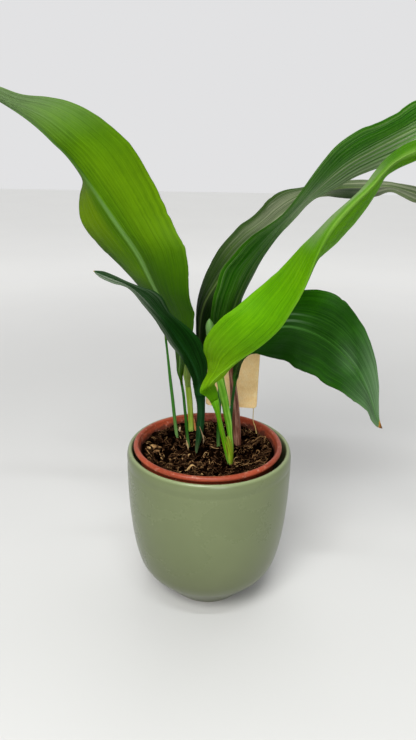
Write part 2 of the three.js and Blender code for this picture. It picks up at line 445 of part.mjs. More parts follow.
// A leaf blade: a thin closed shell whose two halves meet at the midrib and thin out to the margins.
function blade(rows, camber, stalkHalf, halfCells = 3) {
  const curves = [0, 3, 6].map((k) => curveOf(rows, k));
  const n = Math.round((rows.length - 1) * 1.35);
  const ringPoints = halfCells * 4;
  const f = (u, v, target) => {
    const ring = Math.round(v * (n + 1)); // ring 0 is the closing point at the stalk
    const t = Math.max(0, (ring - 1) / n);
    const s = sectionAt(curves, t);
    if (ring === 0 || ring === n + 1) return target.copy(s.m);
    const i = Math.round(u * ringPoints) % ringPoints;
    // 0 .. 2h: front from left margin to right margin; 2h .. 4h: back again
    const front = i <= 2 * halfCells;
    const k = front ? i : ringPoints - i; // 0 left .. 2h right
    const x = k / halfCells - 1; // -1 .. 1
    const left = s.m.clone().sub(s.l);
    const right = s.r.clone().sub(s.m);
    const nl = left.clone().cross(s.along).normalize();
    const nr = right.clone().cross(s.along).normalize();
    const nm = nl.clone().add(nr).normalize();
    const q = Math.abs(x);
    const edge = x < 0 ? s.l : s.r;
    const nh = x < 0 ? nl : nr;
    const width = edge.distanceTo(s.m);
    const normal = q < 1e-6 ? nm : nm.lerp(nh, Math.min(1, q * 3)).normalize();
    const root = Math.max(0, 1 - t / 0.12) ** 2;
    const middle = BLADE_MIDDLE + (stalkHalf * 1.5 - BLADE_MIDDLE) * root;
    const thick = q > 0.999 ? 0 : q < 1e-6 ? middle : BLADE_THICKNESS + (middle * 0.75 - BLADE_THICKNESS) * root;
    target
      .copy(s.m)
      .lerp(edge, q)
      .addScaledVector(nh, camber * width * 4 * q * (1 - q))
      .addScaledVector(normal, (front ? 0.5 : -0.5) * thick);
  };
  const g = new ParametricGeometry(f, ringPoints, n + 1);
  // the back's cells are cut along the same diagonal as the front's, so the shell keeps its thickness where it twists
  const index = g.index;
  for (let cell = 0; cell < index.count / 6; cell++) {
    if (cell % ringPoints < 2 * halfCells) continue;
    const o = cell * 6;
    const [a, b, d, c] = [index.getX(o), index.getX(o + 1), index.getX(o + 2), index.getX(o + 4)];
    [a, b, c, a, c, d].forEach((v, k) => index.setX(o + k, v));
  }
  return g;
}

// ---------- cover pot ----------
{
  const outer = COVER_PROFILE.map(([r, z]) => new THREE.Vector2(r, z));
  const lip = [];
  const lipRadius = COVER_WALL / 2;
  for (let i = 1; i <= 5; i++) {
    const a = (Math.PI * i) / 5;
    lip.push(new THREE.Vector2(67.1 - lipRadius + lipRadius * Math.cos(a), COVER_HEIGHT - lipRadius + lipRadius * Math.sin(a)));
  }
  const inner = [];
  for (let i = outer.length - 2; i >= 3; i -= i > 9 ? 3 : 2) {
    const d = outer[i + 1].clone().sub(outer[i - 1]).normalize();
    const p = new THREE.Vector2(outer[i].x - d.y * COVER_WALL, outer[i].y + d.x * COVER_WALL);
    if (p.y > COVER_FLOOR + 0.8) inner.push(p);
  }
  const last = inner[inner.length - 1];
  const profile = [
    new THREE.Vector2(0, 0),
    ...outer,
    ...lip,
    ...inner,
    new THREE.Vector2(last.x - 4, COVER_FLOOR),
    new THREE.Vector2(0, COVER_FLOOR),
  ];
  const g = new THREE.LatheGeometry(profile, ROUND);
  g.rotateX(Math.PI / 2);
  add("cover_pot", g, "#8d9a70", 0.35);
}

// ---------- nursery pot ----------
const innerRadiusAt = (z) => nurseryOuter(z) - NURSERY_WALL;
function nurseryOuter(z) {
  const top = NURSERY_RIM_RADIUS - NURSERY_RIM_WIDTH + NURSERY_WALL; // outside of the wall where it meets the rim
  const k = (z - NURSERY_BASE_Z) / (NURSERY_RIM_MIDDLE_Z - NURSERY_BASE_Z);
  return NURSERY_BASE_RADIUS + (top - NURSERY_BASE_RADIUS) * k;
}
{
  const rimTop = NURSERY_RIM_MIDDLE_Z;
  const c = NURSERY_RIM_RADIUS - NURSERY_RIM_WIDTH / 2;
  const bead = [];
  for (let i = 0; i <= 8; i++) {
    const a = -Math.PI * 0.62 + (i / 8) * (Math.PI * 1.62);
    bead.push(new THREE.Vector2(c + (NURSERY_RIM_WIDTH / 2) * Math.cos(a), rimTop + NURSERY_RIM_HALF_HEIGHT * Math.sin(a)));
  }
  const b = NURSERY_BASE_Z;
  const profile = [
    new THREE.Vector2(0, b + 1.5),
    new THREE.Vector2(20, b + 1.5),
    new THREE.Vector2(23, b),
    new THREE.Vector2(NURSERY_BASE_RADIUS - 1.2, b),
    new THREE.Vector2(nurseryOuter(b + 1.4), b + 1.4),
    new THREE.Vector2(nurseryOuter(70), 70),
    new THREE.Vector2(nurseryOuter(rimTop - 6), rimTop - 6),
    ...bead,
    new THREE.Vector2(innerRadiusAt(rimTop - 3.5), rimTop - 3.5),
    new THREE.Vector2(innerRadiusAt(SOIL_TOP_Z - 2), SOIL_TOP_Z - 2),
    new THREE.Vector2(innerRadiusAt(70), 70),
    new THREE.Vector2(innerRadiusAt(b + 3.4), b + 3.4),
    new THREE.Vector2(innerRadiusAt(b) - 1.6, b + NURSERY_WALL),
    new THREE.Vector2(24, b + NURSERY_WALL),
    new THREE.Vector2(21, b + 1.5 + NURSERY_WALL),
    new THREE.Vector2(0, b + 1.5 + NURSERY_WALL),
  ];
  const g = new THREE.LatheGeometry(profile, ROUND);
  g.rotateX(Math.PI / 2);
  let solid = toSolid(g);
  for (let i = 0; i < DRAIN_HOLES; i++) {
    const a = (i / DRAIN_HOLES) * 2 * Math.PI + 0.3;
    const hole = new THREE.CylinderGeometry(DRAIN_HOLE_RADIUS, DRAIN_HOLE_RADIUS, 8, 12);
    hole.rotateX(Math.PI / 2);
    hole.translate(29.5 * Math.cos(a), 29.5 * Math.sin(a), b + 1);
    solid = solid.subtract(toSolid(hole));
  }
  const mesh = add("nursery_pot", toGeometry(solid), "#a8573f", 0.5);
  mesh.position.set(NURSERY_SHIFT[0], NURSERY_SHIFT[1], 0);
}

// ---------- leaves ----------
const sockets = [];
for (const [name, leaf] of Object.entries(LEAVES)) {
  const last = leaf.petiole[leaf.petiole.length - 1];
  const half = Math.hypot(last[6] - last[0], last[7] - last[1], last[8] - last[2]) / 2;
  add(name + "_stalk", stalk(leaf.petiole), leaf.stem, 0.45);
  add(name + "_blade", blade(leaf.lamina, leaf.camber, half), leaf.blade, 0.42);
  sockets.push(stalk(leaf.petiole.slice(0, 4), { grow: SOCKET_GAP, steps: 6 }));
}
add("young_shoot", stalk(SHOOT, { depth: 0.5 }), "#7fae4a", 0.45);
sockets.push(stalk(SHOOT.slice(0, 4), { grow: SOCKET_GAP, depth: 0.5, steps: 6 }));
add("dry_sheath", stalk(DRY_SHEATH, { depth: 0.45 }), "#6b4238", 0.7);
sockets.push(stalk(DRY_SHEATH.slice(0, 4), { grow: SOCKET_GAP, depth: 0.45, steps: 6 }));

// ---------- card label and its thin stalk ----------
{
  const s = new THREE.Shape();
  const w = TAG_WIDTH / 2, h = TAG_HEIGHT, c = TAG_CORNER;
  s.moveTo(-w + c, 0);
  s.lineTo(w - c, 0);
  s.absarc(w - c, c, c, -Math.PI / 2, 0, false);
  s.lineTo(w, h - c);
  s.absarc(w - c, h - c, c, 0, Math.PI / 2, false);
  s.lineTo(-w + c, h);
  s.absarc(-w + c, h - c, c, Math.PI / 2, Math.PI, false);
  s.lineTo(-w, c);
  s.absarc(-w + c, c, c, Math.PI, Math.PI * 1.5, false);
  const g = new THREE.ExtrudeGeometry(s, { depth: TAG_THICKNESS, bevelEnabled: false, curveSegments: 5 });
  g.translate(0, 0, -TAG_THICKNESS / 2);
  const x = new THREE.Vector3(44.52, 0, -2.53).normalize();
  const up = new THREE.Vector3(1.2, 2.5, 51.8);
  up.addScaledVector(x, -up.dot(x)).normalize();
  const front = x.clone().cross(up); // faces the front, -Y
  const mesh = add("plant_tag", g, "#c8a56c", 0.85);
  mesh.applyMatrix4(new THREE.Matrix4().makeBasis(x, up, front).setPosition(18.3, 33, 153.3));

  const path = new THREE.CatmullRomCurve3(TAG_STALK.map((p) => new THREE.Vector3(...p)));
    const round = (r) => {
    const c2 = new THREE.Shape();
    for (let i = 0; i < 8; i++) {
      const a = (i / 8) * 2 * Math.PI;
      if (i) c2.lineTo(r * Math.cos(a), r * Math.sin(a));
      else c2.moveTo(r, 0);
    }
    c2.closePath();
    return c2;
  };
  add("tag_stalk", new THREE.ExtrudeGeometry(round(TAG_STALK_RADIUS), { steps: 18, extrudePath: path, bevelEnabled: false }), "#b98a5e", 0.8);
  const footPoints = [0, 0.08, 0.16, 0.24, 0.32, 0.4].map((t) => path.getPoint(t));
  footPoints[0].z -= SOCKET_GAP;
  const foot = new THREE.CatmullRomCurve3(footPoints);
  sockets.push(new THREE.ExtrudeGeometry(round(TAG_STALK_RADIUS + SOCKET_GAP), { steps: 10, extrudePath: foot, bevelEnabled: false }));
}

// ---------- dry scales and a cut stub ----------
for (const [name, part] of Object.entries(SCALES)) {
  add(name, stalk(part.rows, { depth: part.depth, sides: 6, steps: 4 }), part.color, 0.8);
  if (part.rooted) sockets.push(stalk(part.rows.slice(0, 3), { grow: SOCKET_GAP, depth: part.depth, sides: 6, steps: 3 }));
}

// ---------- soil ----------
{
  const bump = (x, y) => 1.1 * Math.sin(x * 0.17 + 1.3) * Math.cos(y * 0.14 - 0.4) + 0.7 * Math.sin(x * 0.31 - y * 0.23);
  const rings = 13, sides = 36;
  const floorZ = NURSERY_BASE_Z + 1.5 + NURSERY_WALL + GAP;
  // profile from the top centre out and down the wall to the bottom centre, in (radius, height)
  const profile = [];
  const heap = (share) => {
    const t = Math.min(1, Math.max(0, (share - 0.62) / 0.36));
    return SOIL_HEAP * t * t * (3 - 2 * t);
  };
  const rimRadius = innerRadiusAt(SOIL_TOP_Z + SOIL_HEAP) - GAP - 0.25;
  for (let i = 0; i < rings; i++) profile.push([rimRadius * (i / (rings - 1)), SOIL_TOP_Z + heap(i / (rings - 1))]);
  const topRings = profile.length;
  for (const z of [70, floorZ + 2.2]) profile.push([innerRadiusAt(z) - GAP - 0.25, z]);
  profile.push([innerRadiusAt(floorZ) - 3.2, floorZ], [0, floorZ]);
  const f = (u, v, target) => {
    const k = Math.round(v * (profile.length - 1));
    const [r, z] = profile[k];
    const a = -u * 2 * Math.PI;
    const x = r * Math.cos(a), y = r * Math.sin(a);
    const edge = k < topRings ? 1 - (k / (topRings - 1)) ** 4 : 0;
    target.set(x, y, z + (k < topRings ? bump(x, y) * edge + 1.2 * edge : 0));
  };
  const g = new ParametricGeometry(f, sides, profile.length - 1);
  g.translate(NURSERY_SHIFT[0], NURSERY_SHIFT[1], 0);
  let solid = toSolid(g);
  if (solid.volume() < 0) throw new Error("soil faces inwards");
  for (const s of sockets) solid = solid.subtract(toSolid(s));
  add("soil", toGeometry(solid), "#2b1d13", 0.95);
}

export default group;
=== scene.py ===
import math

import bmesh
import bpy
import numpy as np
from mathutils import Matrix, Vector


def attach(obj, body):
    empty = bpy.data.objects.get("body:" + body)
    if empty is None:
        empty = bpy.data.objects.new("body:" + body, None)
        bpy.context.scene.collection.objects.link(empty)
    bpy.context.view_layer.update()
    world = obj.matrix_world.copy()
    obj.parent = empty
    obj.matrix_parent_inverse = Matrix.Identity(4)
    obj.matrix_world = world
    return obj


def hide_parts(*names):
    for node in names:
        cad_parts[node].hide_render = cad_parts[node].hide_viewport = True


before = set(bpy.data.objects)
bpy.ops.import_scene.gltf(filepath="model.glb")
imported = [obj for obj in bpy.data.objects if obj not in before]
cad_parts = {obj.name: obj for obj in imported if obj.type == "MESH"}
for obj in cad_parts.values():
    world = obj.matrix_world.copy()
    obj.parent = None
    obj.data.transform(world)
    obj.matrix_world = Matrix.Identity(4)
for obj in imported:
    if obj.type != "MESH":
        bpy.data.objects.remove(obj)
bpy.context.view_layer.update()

MM = 0.001
SCENE = bpy.context.scene

# ------------------------------------------------------------------ camera
right = Vector((0.9998412, 0.00979342, 0.01488804))
up = Vector((-0.01731665, 0.33671622, 0.94144693))
fwd = Vector((-0.00420694, 0.94155524, -0.33683234))
cam_data = bpy.data.cameras.new("camera")
cam = bpy.data.objects.new("camera", cam_data)
SCENE.collection.objects.link(cam)
cam.matrix_world = Matrix((
    (right.x, up.x, -fwd.x, 0.0),
    (right.y, up.y, -fwd.y, -0.44416),
    (right.z, up.z, -fwd.z, 0.35709),
    (0, 0, 0, 1),
))
cam_data.sensor_fit = "AUTO"
cam_data.sensor_width = 36
cam_data.lens = 29.189
cam_data.clip_start, cam_data.clip_end = 0.01, 50
SCENE.camera = cam

# ------------------------------------------------------------------ small helpers


def obj_from(name, verts, faces, smooth=True):
    me = bpy.data.meshes.new(name)
    V = np.asarray(verts, np.float32).reshape(-1, 3)
    sizes = np.fromiter((len(f) for f in faces), np.int32, len(faces))
    flat = np.fromiter((i for f in faces for i in f), np.int32, int(sizes.sum()))
    me.vertices.add(len(V))
    me.vertices.foreach_set("co", V.ravel())
    me.loops.add(len(flat))
    me.loops.foreach_set("vertex_index", flat)
    me.polygons.add(len(sizes))
    me.polygons.foreach_set("loop_start", np.r_[0, np.cumsum(sizes)[:-1]].astype(np.int32))
    me.polygons.foreach_set("loop_total", sizes)
    me.polygons.foreach_set("use_smooth", np.full(len(sizes), bool(smooth)))
    me.update(calc_edges=True)
    me.validate()
    ob = bpy.data.objects.new(name, me)
    SCENE.collection.objects.link(ob)
    return ob


def point_attr(ob, name, values, kind="FLOAT"):
    at = ob.data.attributes.new(name, kind, "POINT")
    key = {"FLOAT": "value", "FLOAT_VECTOR": "vector", "FLOAT_COLOR": "color"}[kind]
    at.data.foreach_set(key, np.asarray(values, np.float32).ravel())


def smoothstep(a, b, x):
    t = np.clip((np.asarray(x, float) - a) / (b - a), 0, 1)
    return t * t * (3 - 2 * t)


def catmull(points, t):
    """Centripetal Catmull-Rom through the points, t from 0 to 1 evenly over their index."""
    P = np.asarray(points, float)
    n = len(P)
    ext = np.vstack([2 * P[0] - P[1], P, 2 * P[-1] - P[-2]])
    p = np.clip(np.asarray(t, float), 0, 1) * (n - 1)
    i = np.minimum(p.astype(int), n - 2)
    w = (p - i)[:, None]
    x0, x1, x2, x3 = ext[i], ext[i + 1], ext[i + 2], ext[i + 3]
    d0 = np.maximum(np.linalg.norm(x1 - x0, axis=1), 1e-8)[:, None] ** 0.5
    d1 = np.maximum(np.linalg.norm(x2 - x1, axis=1), 1e-8)[:, None] ** 0.5
    d2 = np.maximum(np.linalg.norm(x3 - x2, axis=1), 1e-8)[:, None] ** 0.5
    d0 = np.where(d0 < 1e-3, d1, d0)
    d2 = np.where(d2 < 1e-3, d1, d2)
    t1 = ((x1 - x0) / d0 - (x2 - x0) / (d0 + d1) + (x2 - x1) / d1) * d1
    t2 = ((x2 - x1) / d1 - (x3 - x1) / (d1 + d2) + (x3 - x2) / d2) * d1
    return x1 + t1 * w + (-3 * x1 + 3 * x2 - 2 * t1 - t2) * w**2 + (2 * x1 - 2 * x2 + t1 + t2) * w**3


TABLES = {}


def noise_table(seed, shape):
    if (seed, shape) not in TABLES:
        TABLES[seed, shape] = np.random.RandomState(seed).uniform(-1, 1, shape)
    return TABLES[seed, shape]


def value_noise(x, seed, octaves=3):
    """Smooth noise of one variable, -1 to 1."""
    x = np.asarray(x, float)
    out, amp, tot = np.zeros_like(x), 1.0, 0.0
    for o in range(octaves):
        table = noise_table(seed * 31 + o, 4096)
        xi = x * 2**o + 517.3 * o
        i = np.floor(xi).astype(int)
        f = xi - i
        f = f * f * (3 - 2 * f)
        out += amp * (table[i % 4096] * (1 - f) + table[(i + 1) % 4096] * f)
        tot += amp
        amp *= 0.5
    return out / tot


def value_noise2(x, y, seed, octaves=3):
    x, y = np.broadcast_arrays(np.asarray(x, float), np.asarray(y, float))
    out, amp, tot = np.zeros(x.shape), 1.0, 0.0
    for o in range(octaves):
        table = noise_table(seed * 37 + o, (256, 256))
        xx, yy = x * 2**o + 31.7 * o, y * 2**o + 17.9 * o
        i, j = np.floor(xx).astype(int), np.floor(yy).astype(int)
        f, g = xx - i, yy - j
        f, g = f * f * (3 - 2 * f), g * g * (3 - 2 * g)
        a = table[i % 256, j % 256] * (1 - f) + table[(i + 1) % 256, j % 256] * f
        b = table[i % 256, (j + 1) % 256] * (1 - f) + table[(i + 1) % 256, (j + 1) % 256] * f
        out += amp * (a * (1 - g) + b * g)
        tot += amp
        amp *= 0.5
    return out / tot


def srgb(h):
    h = h.lstrip("#")
    out = []
    for k in (0, 2, 4):
        c = int(h[k:k + 2], 16) / 255
        out.append(c / 12.92 if c <= 0.04045 else ((c + 0.055) / 1.055) ** 2.4)
    return (*out, 1.0)


class Nodes:
    """Short ways to add shader nodes to one material."""

    def __init__(self, name):
        self.mat = bpy.data.materials.new(name)
        self.mat.use_nodes = True
        self.t = self.mat.node_tree
        self.t.nodes.clear()
        self.out = self.t.nodes.new("ShaderNodeOutputMaterial")

    def new(self, kind, **props):
        n = self.t.nodes.new(kind)
        for k, v in props.items():
            setattr(n, k, v)
        return n

    def link(self, a, b):
        self.t.links.new(a, b)

    def attr(self, name, out="Vector"):
        return self.new("ShaderNodeAttribute", attribute_name=name).outputs[out]

    def math(self, op, a, b=None, c=None, clamp=False):
        n = self.new("ShaderNodeMath", operation=op, use_clamp=clamp)
        for i, v in enumerate((a, b, c)):
            if v is None:
                continue
            if isinstance(v, (int, float)):
                n.inputs[i].default_value = v
            else:
                self.link(v, n.inputs[i])
        return n.outputs[0]

    def ramp(self, fac, stops, interp="LINEAR"):
        n = self.new("ShaderNodeValToRGB")
        n.color_ramp.interpolation = interp
        while len(n.color_ramp.elements) < len(stops):
            n.color_ramp.elements.new(0.5)
        for e, (p, c) in zip(n.color_ramp.elements, stops):
            e.position = p
            e.color = c if isinstance(c, tuple) else (c, c, c, 1)
        self.link(fac, n.inputs[0])
        return n.outputs[0]

    def map(self, v, a, b, c, d, smooth=False):
        n = self.new("ShaderNodeMapRange")
        n.interpolation_type = "SMOOTHSTEP" if smooth else "LINEAR"
        self.link(v, n.inputs[0])
        for i, x in enumerate((a, b, c, d)):
            n.inputs[i + 1].default_value = x
        return n.outputs[0]

    def mix(self, fac, a, b, blend="MIX"):
        n = self.new("ShaderNodeMix", data_type="RGBA", blend_type=blend)
        for sock, v in ((n.inputs[0], fac), (n.inputs[6], a), (n.inputs[7], b)):
            if isinstance(v, (int, float)):
                sock.default_value = v
            elif isinstance(v, tuple):
                sock.default_value = v
            else:
                self.link(v, sock)
        return n.outputs[2]

    def combine(self, x, y, z):
        n = self.new("ShaderNodeCombineXYZ")
        for i, v in enumerate((x, y, z)):
            if isinstance(v, (int, float)):
                n.inputs[i].default_value = v
            else:
                self.link(v, n.inputs[i])
        return n.outputs[0]

    def separate(self, v):
        n = self.new("ShaderNodeSeparateXYZ")
        self.link(v, n.inputs[0])
        return n.outputs

    def noise(self, vec, scale, detail=3.0, rough=0.5, distortion=0.0):
        n = self.new("ShaderNodeTexNoise")
        n.inputs["Scale"].default_value = scale
        n.inputs["Detail"].default_value = detail
        n.inputs["Roughness"].default_value = rough
        n.inputs["Distortion"].default_value = distortion
        if vec is not None:
            self.link(vec, n.inputs["Vector"])
        return n.outputs["Fac"]

    def voronoi(self, vec, scale, feature="F1", out="Distance", rand=1.0):
        n = self.new("ShaderNodeTexVoronoi", feature=feature)
        n.inputs["Scale"].default_value = scale
        n.inputs["Randomness"].default_value = rand
        if vec is not None:
            self.link(vec, n.inputs["Vector"])
        return n.outputs[out]

    def obj_coords(self):
        return self.new("ShaderNodeTexCoord").outputs["Object"]

    def principled(self, color=None, rough=0.5, normal=None, spec=0.5, **extra):
        n = self.new("ShaderNodeBsdfPrincipled")
        for key, v in (("Base Color", color), ("Roughness", rough), ("Normal", normal), ("Specular IOR Level", spec)):
            if v is None:
                continue
            if isinstance(v, (int, float, tuple)):
                n.inputs[key].default_value = v
            else:
                self.link(v, n.inputs[key])
        for key, v in extra.items():
            n.inputs[key.replace("_", " ")].default_value = v
        return n

    def bump(self, height, strength=0.5, distance=0.0005, normal=None):
        n = self.new("ShaderNodeBump")
        n.inputs["Strength"].default_value = strength
        n.inputs["Distance"].default_value = distance
        self.link(height, n.inputs["Height"])
        if normal is not None:
            self.link(normal, n.inputs["Normal"])
        return n.outputs[0]

    def done(self, shader):
        self.link(shader, self.out.inputs["Surface"])
        return self.mat


def piece(ob, mat, nodes=()):
    ob.data.materials.clear()
    ob.data.materials.append(mat)
    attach(ob, "root")
    if nodes:
        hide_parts(*nodes)
    return ob

